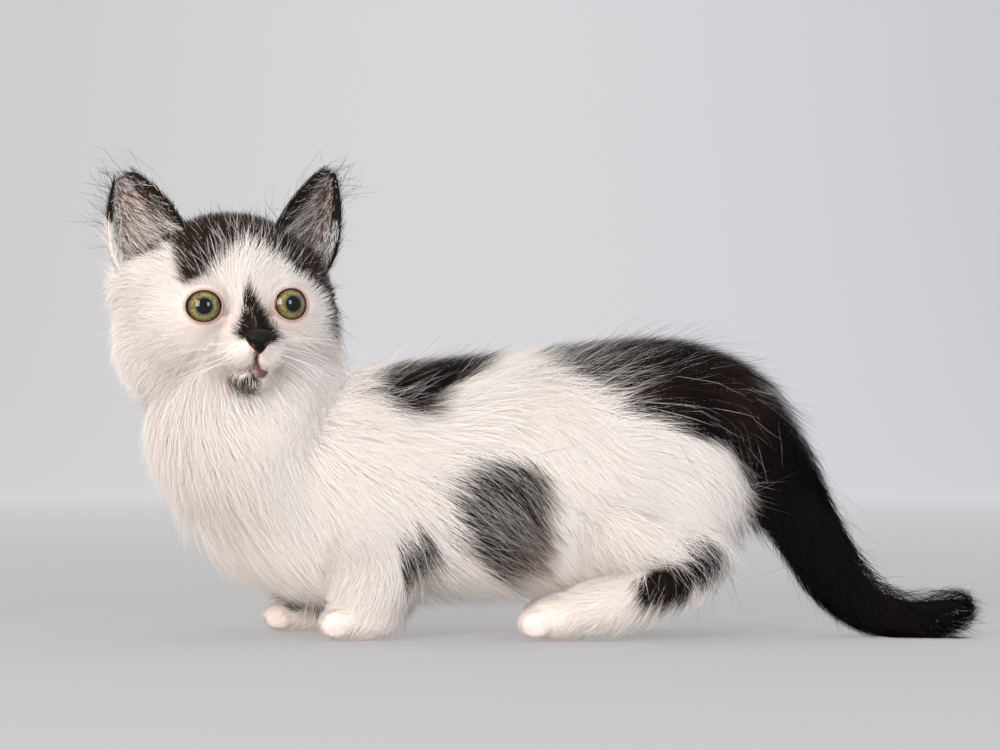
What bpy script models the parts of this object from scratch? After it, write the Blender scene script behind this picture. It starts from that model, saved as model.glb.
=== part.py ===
"""A munchkin kitten, life size: a long low body on short legs, the head turned to its left.

Units are metres and +Z is up. The kitten faces -X, its left side is towards -Y, and it stands
on the floor, z = 0. The body is modelled whole, with its longer coat as flat locks, and is then
parted into head, neck, torso, legs, paws and tail by thin cuts.

Run with: blender --background --python part.py
"""

import math
import random

import bmesh
import bpy
from mathutils import Matrix, Vector
from mathutils.bvhtree import BVHTree

MM = 0.001
GAP = 0.3  # mm, the air between two parts that touch
FLAT = math.radians(1)
FAR = 400  # mm, past the whole kitten
SEED = 70
# How forms are melted into one skin: the grain in mm, the rounds of smoothing, and how many
# triangles are left.
BODY_SKIN = (1.6, 6, 1900)
HEAD_SKIN = (1.2, 8, 1650)

# Every table is in millimetres. A row is one section of the coat's outline:
# x, y, z of its centre, half-width (across the body) and half-height (in the body's own plane).
TORSO = [
    (-115, 0, 62, 20, 22),  # breast
    (-105, 0, 61, 31, 34),
    (-88, 0, 60, 38, 43),  # chest
    (-66, 0, 61, 41, 46),  # shoulders
    (-38, 0, 62, 42, 47),
    (-10, 0, 63.5, 43, 47.5),  # ribs
    (18, 0, 66, 43, 48),
    (44, 0, 70, 42, 48),  # loin
    (68, 0, 77, 38, 43),  # rump
    (86, 0, 81, 30, 34),
    (97, 0, 80, 22, 25),  # root of the tail
]
NECK = [
    (-87, 0, 64, 38, 38),
    (-97, -2, 82, 39, 41),
    (-103, -6, 99, 39, 40),
    (-106, -10, 114, 36, 37),
]
TAIL = [
    (92, 0, 82, 20, 26),
    (104, 0, 69, 18, 23),
    (116, -1, 54, 16, 20),
    (125, -3, 39, 14, 17.5),
    (134, -5, 26, 12.5, 15),
    (145, -8, 16, 11.5, 13.5),
    (159, -11, 11.5, 11, 12),
    (174, -13, 12.5, 10, 11),
    (185, -14, 14.5, 7, 7.5),
]
FORE_LEG = [
    (-45, -20, 52, 14, 21),  # elbow, inside the body
    (-47, -21, 34, 13, 18),
    (-50, -22, 20, 12.5, 16.5),
    (-52, -22, 9, 12, 15),
]
SHANK = [
    (46, -26, 44, 14, 15),  # knee
    (64, -27, 38, 12, 13),
    (79, -27, 33, 10, 10.5),  # hock
]
HIND_FOOT = [
    (80, -27, 32, 9.5, 10),
    (66, -27, 24, 11, 11.5),
    (50, -27, 16.5, 12, 12),
    (33, -27, 11, 12.5, 10.5),
]
THIGH = ((61, -21, 66), (30, 20, 36))  # centre and radii
FORE_PAW = ((-53, -22, 8), (17, 13, 10))
HIND_PAW = ((22, -27, 8.5), (15, 13, 10.5))
TOE = (7, 4, 6.2)
TOE_PITCH = 6.0
# Each leg is parted from the body in a prism across it: its outline from the side as x, z,
# and how far from the middle plane it starts and ends. Each cut across a leg is a point and
# the way up or back.
FORE_CELL = [(-73, -9), (-73, 22), (-66, 43), (-46, 48), (-29, 38), (-27, -9)]
FORE_CELL_DEPTH = (7, 60)
HIND_CELL = [(1, -9), (1, 21), (24, 26), (30, 62), (42, 96), (66, 104), (88, 90), (97, 60), (97, -9)]
HIND_CELL_DEPTH = (15, 60)
FORE_PAW_CUT = ((-53, 0, 17.5), (0.15, 0, 1))
HOCK_CUT = ((63, 0, 38), (-0.3, 0, 1))
HIND_PAW_CUT = ((36, 0, 10), (1, 0, 0.25))
FORE_STEP = -26  # how far the right foreleg stands ahead of the left one
HIND_STEP = 3

# How far the tips of the locks stand over the core that carries them.
TORSO_COAT = 5.5
FLANK_FULLNESS = 0.5  # share by which the flanks' locks stand higher than the back's
NECK_COAT = 6.0
TAIL_COAT = 5.0
CHEEK_COAT = 4.0
# The sections of a lock, from its root: share of its length, height as a share of the coat,
# share of its width, thickness in mm. Its tip is a point at the coat's full height.
LOCK_SECTIONS = ((0, -0.6, 0.8, 3.2), (0.42, 0.45, 1, 2.6), (0.76, 0.88, 0.55, 1.5))
LOCK_SPREAD = 0.15  # how much a lock's sizes vary
LOCK_SWAY = 0.25  # how far its tip swings to a side, as a share of its length
LOCK_CLING = 0.8  # how closely it bends with the skin: 0 is straight, 1 keeps to it
# Locks in rings round a tube: first and last ring as shares of its length, number of rings,
# locks in a ring, length and width of a lock.
TORSO_LOCKS = (0.06, 0.93, 8, 10, 42, 20)
NECK_LOCKS = (0.2, 0.72, 3, 8, 32, 19)
TAIL_LOCKS = (0.2, 0.8, 6, 5, 30, 12)
ROOT_SLACK = 5  # mm past a tube's own surface where a ray has run into another part of the body
TRUNK_DROOP = 0.5
NECK_DROOP = 0.4
# Locks of one cheek in the head's frame: turn back from the face and rise, both in degrees.
CHEEK_LOCKS = [(75, 0), (70, -28), (62, -52), (98, -8), (98, -36), (92, -60), (122, -22)]
CHEEK_LOCK_SIZE = (22, 13)
CHEEK_LIE = (0.6, 0.5, -0.7)

# The head's own frame: x to the kitten's left, y backwards, z up, from the middle of the skull.
HEAD_PLACE = (-106.7, -13, 127.4)
HEAD_TURN = 20.7  # degrees past a right angle to the body
HEAD_LEAN = -2.6
# Where the head and the neck are parted from what carries them: a point, and the way down.
JAW_CUT = ((0, 0, -22.5), (0.17, 0.31, -1))  # in the head's frame
HEAD_REACH = 62  # half the width of the block that holds all of the head and nothing else
NECK_CUT = ((-84, 0, 84), (0.75, 0, -1))
# Centre and radii of each form of the head. A form off the middle has a twin.
HEAD_FORMS = {
    "cranium": ((0, 4, 6), (36, 37, 33.5)),
    "temple": ((17, 2, 2), (24, 28, 27)),
    "cheek": ((23, 1, -7), (21, 23, 23)),
    "jaw": ((0, -4, -16), (25, 24, 16)),
    "ear_root": ((27, 13, 13), (14.5, 14, 15)),
    "brow": ((13, -17, 10), (12, 11, 10)),
    "muzzle": ((0, -22, -15), (14, 16, 12)),
    "bridge": ((0, -26, -2), (7.5, 14, 7)),
    "whisker_pad": ((5.6, -33, -16), (8.2, 9, 7.5)),
    "nose_bulb": ((0, -37, -11.5), (6, 7, 5)),
    "chin": ((0, -30, -24.5), (7.5, 8, 6.5)),
}
COATED_FORMS = ("cheek",)
BRIDGE_SLOPE = 28  # degrees
EYE_PLACE = (16.2, -22.8, 2)
EYE_RADIUS = 8.3
EYE_SPLAY = 10  # degrees that each eye looks outwards
LID = 1.3
EYE_OPENING = (7.0, 9, 6.2)  # half-width, depth, half-height
NOSE_PLACE = (0, -43.2, -12.6)
NOSE_SIZE = (6.4, 3.6, 4.4)
NOSTRIL = (1.3, 1.8, 0.8)
MOUTH = [(0, -17), (0, -20.5), (3, -22.6), (6, -23.3), (9, -22.6)]  # x, z from nose to corner
MOUTH_GROOVE = 0.8
EAR_BASE = (30.5, 3, 27)
EAR_TIP = (41.5, 5, 59)
EAR_ACROSS = (0.81, 0.3, -0.5)  # from the inner edge of the base to its outer edge
EAR_HALF_WIDTH = 17
EAR_SINK = 0.5  # how far the foot goes on below the base, as a share of the ear's height
EAR_CUP = 15
EAR_ARC = 84  # degrees from the back of the cup round to each edge
EAR_SKIN = 1.7


def clear_scene():
    for obj in list(bpy.data.objects):
        bpy.data.objects.remove(obj, do_unlink=True)


def material(name, colour, roughness):
    mat = bpy.data.materials.new(name)
    mat.use_nodes = True
    shader = mat.node_tree.nodes["Principled BSDF"]
    shader.inputs["Base Color"].default_value = (*colour, 1)
    shader.inputs["Roughness"].default_value = roughness
    shader.inputs["Metallic"].default_value = 0
    return mat


def new_object(name, bm, collection):
    """Turns the bmesh into a named object with all its faces pointing out."""
    bmesh.ops.recalc_face_normals(bm, faces=bm.faces)
    mesh = bpy.data.meshes.new(name)
    bm.to_mesh(mesh)
    bm.free()
    obj = bpy.data.objects.new(name, mesh)
    collection.objects.link(obj)
    return obj


def ellipsoid(name, centre, radii, collection, turn=None, segments=28):
    bm = bmesh.new()
    bmesh.ops.create_uvsphere(bm, u_segments=segments, v_segments=segments * 2 // 3, radius=1)
    shape = Matrix.Diagonal((*radii, 1)) if turn is None else turn @ Matrix.Diagonal((*radii, 1))
    bmesh.ops.transform(bm, matrix=Matrix.Translation(centre) @ shape, verts=bm.verts)
    bmesh.ops.scale(bm, vec=(MM, MM, MM), verts=bm.verts)
    return new_object(name, bm, collection)


def mirrored(values):
    """The same place or size on the kitten's other side."""
    return (values[0], -values[1], *values[2:])


def along(rows, t):
    """Row of the table at t from 0 to 1, on a smooth curve through all of them."""
    last = len(rows) - 1
    i = min(int(t * last), last - 1)
    u = t * last - i
    a, b, c, d = (rows[min(max(i + k, 0), last)] for k in (-1, 0, 1, 2))
    return [
        q + 0.5 * u * (r - p + u * (2 * p - 5 * q + 4 * r - s + u * (3 * (q - r) + s - p)))
        for p, q, r, s in zip(a, b, c, d)
    ]


def frame_at(rows, t):
    """Centre, tangent, side and up vectors of the tube at t, with its two half sizes."""
    step = 0.01
    row = along(rows, t)
    ahead = Vector(along(rows, min(t + step, 1))[:3])
    behind = Vector(along(rows, max(t - step, 0))[:3])
    tangent = (ahead - behind).normalized()
    side = (Vector((0, 1, 0)) - tangent * tangent.y).normalized()
    return Vector(row[:3]), tangent, side, side.cross(tangent), row[3], row[4]


def tube(name, rows, collection, shrink=0.0, rings=20, around=28):
    """A loft of ellipses along the table's path, with a round end of its own at each end."""
    bm = bmesh.new()
    sections = []
    round_steps = (0.94, 0.75, 0.45)
    for end, steps in ((0, round_steps), (1, ())):
        for q in steps:
            sections.append((end, -q))
    sections += [(k / (rings - 1), 0) for k in range(rings)]
    sections += [(1, q) for q in reversed(round_steps)]
    loops = []
    for t, bulge in sections:
        centre, tangent, side, up, wide, high = frame_at(rows, t)
        wide, high = max(wide - shrink, 2), max(high - shrink, 2)
        scale = math.sqrt(1 - bulge * bulge)
        centre = centre + tangent * bulge * min(wide, high)
        loop = []
        for k in range(around):
            a = 2 * math.pi * k / around
            point = centre + (side * wide * math.cos(a) + up * high * math.sin(a)) * scale
            loop.append(bm.verts.new(point * MM))
        loops.append(loop)
    for first, second in zip(loops, loops[1:]):
        for k in range(around):
            n = (k + 1) % around
            bm.faces.new((first[k], first[n], second[n], second[k]))
    bm.faces.new(loops[0][::-1])
    bm.faces.new(loops[-1])
    return new_object(name, bm, collection)


def evaluated_mesh(obj):
    graph = bpy.context.evaluated_depsgraph_get()
    return bpy.data.meshes.new_from_object(obj.evaluated_get(graph))


def apply_modifiers(obj):
    obj.data = evaluated_mesh(obj)
    obj.modifiers.clear()
    return obj


def fused_softly(name, forms, collection, voxel, smooth, faces):
    """Melts the overlapping forms into one smooth skin of about this many triangles."""
    bm = bmesh.new()
    for form in forms:
        bm.from_mesh(form.data)
        bpy.data.objects.remove(form)
    obj = new_object(name, bm, collection)
    remesh = obj.modifiers.new("melt", "REMESH")
    remesh.mode = "VOXEL"
    remesh.voxel_size = voxel * MM
    smoothing = obj.modifiers.new("soften", "SMOOTH")
    smoothing.factor = 0.5
    smoothing.iterations = smooth
    apply_modifiers(obj)
    thin = obj.modifiers.new("thin", "DECIMATE")
    thin.ratio = faces / (2 * len(obj.data.polygons))
    return apply_modifiers(obj)


def boolean(obj, other, operation, solver="MANIFOLD"):
    """Joins, cuts or keeps obj with one object or a whole collection, and applies it."""
    modifier = obj.modifiers.new(operation.lower(), "BOOLEAN")
    modifier.operation = operation
    modifier.solver = solver
    if isinstance(other, bpy.types.Collection):
        modifier.operand_type = "COLLECTION"
        modifier.collection = other
    else:
        modifier.object = other
    return apply_modifiers(obj)


def grown(obj, distance, collection):
    """A copy of obj whose skin lies this far outside it."""
    copy = obj.copy()
    copy.data = obj.data.copy()
    collection.objects.link(copy)
    displace = copy.modifiers.new("grow", "DISPLACE")
    displace.strength = distance * MM
    displace.mid_level = 0
    return apply_modifiers(copy)


def keep_largest(obj):
    """Drops loose scraps and sealed hollows: only the largest closed surface stays."""
    bm = bmesh.new()
    bm.from_mesh(obj.data)
    bmesh.ops.triangulate(bm, faces=bm.faces)
    left = set(bm.faces)
    shells = []
    while left:
        start = left.pop()
        shell, edge_of_shell = {start}, [start]
        while edge_of_shell:
            for edge in edge_of_shell.pop().edges:
                if len(edge.link_faces) != 2:
                    continue
                for face in edge.link_faces:
                    if face not in shell:
                        shell.add(face)
                        edge_of_shell.append(face)
        left -= shell
        shells.append(shell)

    def size(shell):
        middles = [face.calc_center_median() for face in shell]
        spans = [max(c[i] for c in middles) - min(c[i] for c in middles) for i in range(3)]
        return spans[0] * spans[1] * spans[2]

    best = max(shells, key=size)
    bmesh.ops.delete(bm, geom=[face for face in bm.faces if face not in best], context="FACES")
    bm.to_mesh(obj.data)
    bm.free()
    return obj


def merge_flat_faces(obj):
    """Joins the slivers that the cuts leave in flat faces, where the skin stays closed by it."""
    bm = bmesh.new()
    bm.from_mesh(obj.data)
    bmesh.ops.dissolve_limit(bm, angle_limit=FLAT, verts=bm.verts, edges=bm.edges)
    bmesh.ops.triangulate(bm, faces=bm.faces)
    if all(len(edge.link_faces) == 2 for edge in bm.edges):
        bm.to_mesh(obj.data)
    bm.free()


def half_space(name, point, normal, collection, reach=FAR):
    """A big block whose one face passes through the point and whose body lies behind the normal."""
    bm = bmesh.new()
    bmesh.ops.create_cube(bm, size=2 * reach)
    turn = Vector(normal).to_track_quat("Z", "Y").to_matrix().to_4x4()
    place = Matrix.Translation(point) @ turn @ Matrix.Translation((0, 0, -reach))
    bmesh.ops.transform(bm, matrix=place, verts=bm.verts)
    bmesh.ops.scale(bm, vec=(MM, MM, MM), verts=bm.verts)
    return new_object(name, bm, collection)


def head_matrix():
    turn = Matrix.Rotation(math.radians(HEAD_TURN), 4, "Z")
    lean = Matrix.Rotation(math.radians(HEAD_LEAN), 4, "Y")
    return Matrix.Translation(HEAD_PLACE) @ turn @ lean


def head_ellipsoid(name, centre, radii, collection, pitch=0.0, yaw=0.0, segments=28):
    """An ellipsoid given in the head's own frame."""
    own = Matrix.Rotation(math.radians(yaw), 4, "Z") @ Matrix.Rotation(math.radians(pitch), 4, "X")
    place = head_matrix() @ Matrix.Translation(centre) @ own
    centre_out = place.to_translation()
    turn = place.to_3x3().to_4x4()
    return ellipsoid(name, centre_out, radii, collection, turn, segments)


def leg_forms(work):
    """Tubes and blobs of the four legs, with the toes at the front of each paw."""
    forms = []
    for is_right in (False, True):
        flip = mirrored if is_right else tuple
        fore = FORE_STEP if is_right else 0
        hind = HIND_STEP if is_right else 0
        for rows, step in ((FORE_LEG, fore), (SHANK, hind), (HIND_FOOT, hind)):
            moved = [(row[0] + step, *row[1:]) for row in rows]
            forms.append(tube("leg_form", [flip(row) for row in moved], work))
        blobs = [(THIGH, hind), (FORE_PAW, fore), (HIND_PAW, hind)]
        for (centre, radii), step in blobs:
            x, y, z = flip(centre)
            forms.append(ellipsoid("blob_form", (x + step, y, z), radii, work))
        for (centre, radii), step in blobs[1:]:
            for k in (-1.5, -0.5, 0.5, 1.5):
                x, y, z = flip((centre[0] + step - radii[0] + 5, centre[1], centre[2] - 1.5))
                x += 1.3 * abs(k)
                forms.append(ellipsoid("toe_form", (x, y + k * TOE_PITCH, z), TOE, work))
    return forms


def head_forms(work):
    """Ellipsoids of the skull, face and muzzle, and a ball of lid round each eye."""
    forms = []
    for name, (centre, radii) in HEAD_FORMS.items():
        pitch = BRIDGE_SLOPE if name == "bridge" else 0
        coat = CHEEK_COAT if name in COATED_FORMS else 0
        for side in (1, -1) if centre[0] else (1,):
            place = (centre[0] * side, *centre[1:])
            size = [radius - coat for radius in radii]
            forms.append(head_ellipsoid(name, place, size, work, pitch))
    for side in (1, -1):
        place = (EYE_PLACE[0] * side, *EYE_PLACE[1:])
        forms.append(head_ellipsoid("lid_form", place, (EYE_RADIUS + LID,) * 3, work))
    return forms


def body_core(collection, work):
    """The whole kitten as one smooth body, without ears, eyes, nose leather and locks."""
    forms = [
        tube("torso_form", TORSO, work, TORSO_COAT),
        tube("neck_form", NECK, work, NECK_COAT),
        tube("tail_form", TAIL, work, TAIL_COAT),
    ]
    body = fused_softly("body", forms + leg_forms(work), collection, *BODY_SKIN)
    head = fused_softly("head_form", head_forms(work), work, *HEAD_SKIN)
    return boolean(body, head, "UNION")


def lock(root, out, lie, size, coat, surface, locks):
    """A flat tapered lock: its root is sunk in the core, and it bends along the core's skin."""
    vary = [1 + LOCK_SPREAD * random.uniform(-1, 1) for _ in range(3)]
    length, width, coat = size[0] * vary[0], size[1] * vary[1], coat * vary[2]
    sway = LOCK_SWAY * random.uniform(-1, 1)
    lie = (lie - out * lie.dot(out)).normalized()
    side = out.cross(lie)

    def spine(share, height):
        straight = root + (lie + side * sway * share) * length * share
        below, skin_out, _, _ = surface.find_nearest(straight * MM)
        bent = straight.lerp(below / MM, LOCK_CLING)
        return bent + skin_out * coat * height, skin_out

    bm = bmesh.new()
    loops = []
    for share, height, wide, thick in LOCK_SECTIONS:
        middle, up = spine(share, height)
        across = up.cross(lie).normalized() * width * wide / 2
        corners = (middle + across, middle + up * thick, middle - across)
        loops.append([bm.verts.new(corner * MM) for corner in corners])
    tip = bm.verts.new(spine(1, 1)[0] * MM)
    bm.faces.new(loops[0])
    for k in range(3):
        n = (k + 1) % 3
        for first, second in zip(loops, loops[1:]):
            bm.faces.new((first[k], first[n], second[n], second[k]))
        bm.faces.new((loops[-1][k], loops[-1][n], tip))
    bmesh.ops.triangulate(bm, faces=bm.faces)
    return new_object("lock", bm, locks)


def tube_locks(rows, rings, lie_at, surface, coat, locks, fullness=0.0):
    """Rings of locks round a tube, each on the core that a ray from the tube's middle meets."""
    first, last, count, around, *size = rings
    for i in range(count):
        t = first + (last - first) * i / (count - 1)
        centre, tangent, side, up, wide, high = frame_at(rows, t)
        for k in range(around):
            angle = 2 * math.pi * (k + 0.5 * (i % 2) + 0.2 * random.uniform(-1, 1)) / around
            ray = side * math.cos(angle) + up * math.sin(angle)
            reach = wide * high / math.hypot(high * math.cos(angle), wide * math.sin(angle))
            hit, out, _, distance = surface.ray_cast(centre * MM, ray)
            if hit is None or distance / MM > reach + ROOT_SLACK:
                continue
            height = coat * (1 + fullness * abs(ray.y))
            lock(hit / MM, out, lie_at(tangent, ray), size, height, surface, locks)


def trunk_lie(tangent, ray):
    """The coat of the trunk runs back along it and down its sides."""
    return tangent - Vector((0, 0, TRUNK_DROOP * (1 - abs(ray.z))))


def neck_lie(tangent, ray):
    """The coat of the neck runs away from the head and down."""
    return -tangent - Vector((0, 0, NECK_DROOP))


def tail_lie(tangent, ray):
    return tangent


def cheek_locks(surface, locks):
    """A fan of locks on each cheek, which spread outwards and down from the face."""
    own = head_matrix()
    for side in (1, -1):
        centre = Vector(HEAD_FORMS["cheek"][0])
        centre.x *= side
        for turn, rise in CHEEK_LOCKS:
            turn, rise = math.radians(turn), math.radians(rise)
            ray = Vector((side * math.sin(turn), -math.cos(turn), 0)) * math.cos(rise)
            ray = own.to_3x3() @ (ray + Vector((0, 0, math.sin(rise))))
            hit, out, _, _ = surface.ray_cast((own @ centre) * MM, ray)
            lie = own.to_3x3() @ Vector((side * CHEEK_LIE[0], *CHEEK_LIE[1:]))
            lock(hit / MM, out, lie, CHEEK_LOCK_SIZE, CHEEK_COAT, surface, locks)


def add_locks(body, work):
    """Covers the core with its locks and fuses them with it."""
    surface = BVHTree.FromObject(body, bpy.context.evaluated_depsgraph_get())
    locks = bpy.data.collections.new("locks")
    work.children.link(locks)
    tube_locks(TORSO, TORSO_LOCKS, trunk_lie, surface, TORSO_COAT, locks, FLANK_FULLNESS)
    tube_locks(NECK, NECK_LOCKS, neck_lie, surface, NECK_COAT, locks)
    tube_locks(TAIL, TAIL_LOCKS, tail_lie, surface, TAIL_COAT, locks)
    cheek_locks(surface, locks)
    boolean(body, locks, "UNION")
    for obj in list(locks.objects):
        bpy.data.objects.remove(obj)
    keep_largest(body)


def carve_face(body, work, parts):
    """Cuts the eye sockets, the line of the mouth and the seat of the nose."""
    own = head_matrix()
    for side in (1, -1):
        place = (EYE_PLACE[0] * side, *EYE_PLACE[1:])
        socket = head_ellipsoid("socket", place, (EYE_RADIUS + GAP,) * 3, work, segments=14)
        boolean(body, socket, "DIFFERENCE")
        ahead = Matrix.Rotation(math.radians(EYE_SPLAY * side), 4, "Z")
        centre = Vector(place) + ahead @ Vector((0, -EYE_RADIUS, 0))
        yaw = EYE_SPLAY * side
        opening = head_ellipsoid("opening", centre, EYE_OPENING, work, yaw=yaw, segments=14)
        boolean(body, opening, "DIFFERENCE")
    surface = BVHTree.FromObject(body, bpy.context.evaluated_depsgraph_get())
    inwards = own.to_3x3() @ Vector((0, 1, 0))
    for side in (1, -1):
        curve = bpy.data.curves.new("mouth_line", "CURVE")
        curve.dimensions = "3D"
        curve.bevel_depth = MOUTH_GROOVE * MM
        curve.bevel_resolution = 1
        curve.use_fill_caps = True
        spline = curve.splines.new("POLY")
        rows = [(x * side, -60, z) for x, z in MOUTH]
        points = []
        for k in range(9):
            start = own @ Vector(along(rows, k / 8))
            hit = surface.ray_cast(start * MM, inwards)[0]
            points.append(hit)
        spline.points.add(len(points) - 1)
        for point, place in zip(spline.points, points):
            point.co = (*place, 1)
        groove = bpy.data.objects.new("mouth_groove", curve)
        work.objects.link(groove)
        mesh = evaluated_mesh(groove)
        bpy.data.objects.remove(groove)
        bm = bmesh.new()
        bm.from_mesh(mesh)
        bmesh.ops.remove_doubles(bm, verts=bm.verts, dist=0.00001)
        boolean(body, new_object("mouth_groove", bm, work), "DIFFERENCE")
    nose = nose_leather(parts, work)
    boolean(body, grown(nose, GAP, work), "DIFFERENCE")
    return nose


def nose_leather(parts, work):
    """A rounded triangle, wide above and narrow below, with two comma-shaped nostrils."""
    bm = bmesh.new()
    bmesh.ops.create_uvsphere(bm, u_segments=12, v_segments=8, radius=1)
    for vert in bm.verts:
        vert.co.x *= 0.72 + 0.38 * vert.co.z
    wide, deep, high = NOSE_SIZE
    shape = Matrix.Translation(NOSE_PLACE) @ Matrix.Diagonal((wide, deep, high, 1))
    bmesh.ops.transform(bm, matrix=head_matrix() @ shape, verts=bm.verts)
    bmesh.ops.scale(bm, vec=(MM, MM, MM), verts=bm.verts)
    nose = new_object("nose", bm, parts)
    for side in (1, -1):
        place = Vector(NOSE_PLACE) + Vector((2.6 * side, -2.2, -0.8))
        cutter = head_ellipsoid("nostril", place, NOSTRIL, work, yaw=-30 * side, segments=8)
        boolean(nose, cutter, "DIFFERENCE")
    return nose


def eye(name, side, parts):
    """The eyeball, with the cornea standing a little out of it along the gaze."""
    bm = bmesh.new()
    bmesh.ops.create_uvsphere(bm, u_segments=14, v_segments=10, radius=EYE_RADIUS)
    for vert in bm.verts:
        ahead = vert.co.z / EYE_RADIUS
        if ahead > 0.8:
            vert.co.z += 3.0 * (ahead - 0.8)
    gaze = Matrix.Rotation(math.radians(EYE_SPLAY * side), 4, "Z")
    to_front = Matrix.Rotation(math.radians(90), 4, "X")
    place = Matrix.Translation((EYE_PLACE[0] * side, *EYE_PLACE[1:]))
    bmesh.ops.transform(bm, matrix=head_matrix() @ place @ gaze @ to_front, verts=bm.verts)
    bmesh.ops.scale(bm, vec=(MM, MM, MM), verts=bm.verts)
    return new_object(name, bm, parts)


def ear_point(side, u, v, depth):
    """Point of the ear: u from the inner edge, -1, to the outer edge, 1, and v from base to tip.

    The ear is a cone cut open at the front. Its rim is a rounded triangle that narrows again
    below the base, its middle is bowed back, and depth is how far the point lies inside.
    """
    base, tip = Vector(EAR_BASE), Vector(EAR_TIP)
    up = (tip - base).normalized()
    across = Vector(EAR_ACROSS)
    across = (across - up * across.dot(up)).normalized()
    back = up.cross(across)
    back = back if back.y > 0 else -back
    above = max(v, 0)
    taper = (1 - above**1.5) ** 0.9 - 0.9 * min(v, 0) ** 2
    half = EAR_HALF_WIDTH * taper + 0.8
    bow = EAR_CUP * (1 - above) ** 0.7 + 1.2
    arc = math.radians(EAR_ARC)
    place = base + up * v * (tip - base).length
    place += across * (half - depth) * math.sin(u * arc) / math.sin(arc)
    place += back * ((bow - depth) * (math.cos(u * arc) - math.cos(arc)) - 2)
    place.x *= side
    return place


def ear(name, side, skull, parts, work):
    """A cupped shell, closed all round, whose foot is cut to the skull."""
    columns, rows = 9, 8
    place = head_matrix()
    bm = bmesh.new()
    sheets = []
    for skin in (0, EAR_SKIN):
        sheet = []
        for i in range(rows + 1):
            v = -EAR_SINK + (1 + EAR_SINK) * i / rows
            line = []
            for j in range(columns + 1):
                depth = skin * (1 - 0.6 * max(v, 0))
                point = place @ ear_point(side, 2 * j / columns - 1, v, depth)
                line.append(bm.verts.new(point * MM))
            sheet.append(line)
        sheets.append(sheet)
    outer, inner = sheets
    for i in range(rows):
        for j in range(columns):
            bm.faces.new((outer[i][j], outer[i][j + 1], outer[i + 1][j + 1], outer[i + 1][j]))
            bm.faces.new((inner[i][j], inner[i + 1][j], inner[i + 1][j + 1], inner[i][j + 1]))
        for j in (0, columns):
            bm.faces.new((outer[i][j], inner[i][j], inner[i + 1][j], outer[i + 1][j]))
    for j in range(columns):
        for i in (0, rows):
            bm.faces.new((outer[i][j], inner[i][j], inner[i][j + 1], outer[i][j + 1]))
    obj = new_object(name, bm, parts)
    boolean(obj, skull, "DIFFERENCE")
    return keep_largest(obj)


def split(whole, name, cell, cell_grown, parts):
    """Takes out of whole what lies in the cell, as a part of that name, leaving the gap open."""
    part = whole.copy()
    part.data = whole.data.copy()
    part.name = name
    parts.objects.link(part)
    boolean(part, cell, "INTERSECT")
    boolean(whole, cell_grown, "DIFFERENCE")
    keep_largest(part)
    return part


def split_by_plane(whole, name, point, normal, parts, work, reach=FAR):
    """The part behind the plane, as seen along its normal, leaves whole."""
    normal = Vector(normal).normalized()
    cell = half_space("cell", point, normal, work, reach)
    gap_cell = half_space("gap_cell", Vector(point) + normal * GAP, normal, work, reach + GAP)
    return split(whole, name, cell, gap_cell, parts)


def leg_cell(outline, depth, step, is_right, extra, work):
    """A prism across the body with all its faces moved out by extra."""
    corners = [Vector((x + step, z)) for x, z in outline]
    near, far = depth[0] - extra, depth[1] + extra
    sign = 1 if is_right else -1
    bm = bmesh.new()
    rim = []
    for before, corner, after in zip(corners[-1:] + corners, corners, corners[1:] + corners[:1]):
        left = (corner - before).orthogonal().normalized()
        right = (after - corner).orthogonal().normalized()
        moved = corner + (left + right) * extra / (1 + left.dot(right))
        rim.append(bm.verts.new((moved.x * MM, sign * near * MM, moved.y * MM)))
    face = bm.faces.new(rim)
    swept = bmesh.ops.extrude_face_region(bm, geom=[face])["geom"]
    moving = [item for item in swept if isinstance(item, bmesh.types.BMVert)]
    bmesh.ops.translate(bm, vec=(0, sign * (far - near) * MM, 0), verts=moving)
    return new_object("leg_cell", bm, work)


def split_legs(body, parts, work):
    """Each leg leaves the body in its prism and is then cut across at the wrist or hock."""
    made = []
    for side, is_right in (("left", False), ("right", True)):
        fore = FORE_STEP if is_right else 0
        room = (FORE_CELL, FORE_CELL_DEPTH, fore, is_right)
        leg = split(body, f"foreleg_{side}", *(leg_cell(*room, e, work) for e in (0, GAP)), parts)
        cuts = [("forepaw", FORE_PAW_CUT, leg, fore)]
        hind = HIND_STEP if is_right else 0
        room = (HIND_CELL, HIND_CELL_DEPTH, hind, is_right)
        thigh = split(body, f"thigh_{side}", *(leg_cell(*room, e, work) for e in (0, GAP)), parts)
        cuts.append(("hind_foot", HOCK_CUT, thigh, hind))
        made += [leg, thigh]
        for name, (point, normal), whole, step in cuts:
            place = Vector(point) + Vector((step, 0, 0))
            made.append(split_by_plane(whole, f"{name}_{side}", place, normal, parts, work))
        place = Vector(HIND_PAW_CUT[0]) + Vector((hind, 0, 0))
        foot = made[-1]
        made.append(split_by_plane(foot, f"hind_paw_{side}", place, HIND_PAW_CUT[1], parts, work))
    return made


def split_tail(body, parts, work):
    """The tail leaves the rump, and is then cut square to its path into three lengths."""
    centre, tangent = frame_at(TAIL, 0.2)[:2]
    tail = split_by_plane(body, "tail_tip", centre, -tangent, parts, work)
    made = [tail]
    for name, t in (("tail_base", 0.45), ("tail_middle", 0.7)):
        centre, tangent = frame_at(TAIL, t)[:2]
        made.append(split_by_plane(tail, name, centre, tangent, parts, work))
    return made


def flat_soles(objects, work):
    """All that reaches the floor is cut flat at its level."""
    floor = half_space("floor", (0, 0, 0), (0, 0, 1), work)
    for obj in objects:
        if min(corner[2] for corner in obj.bound_box) < 0:
            boolean(obj, floor, "DIFFERENCE")
            keep_largest(obj)


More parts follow.
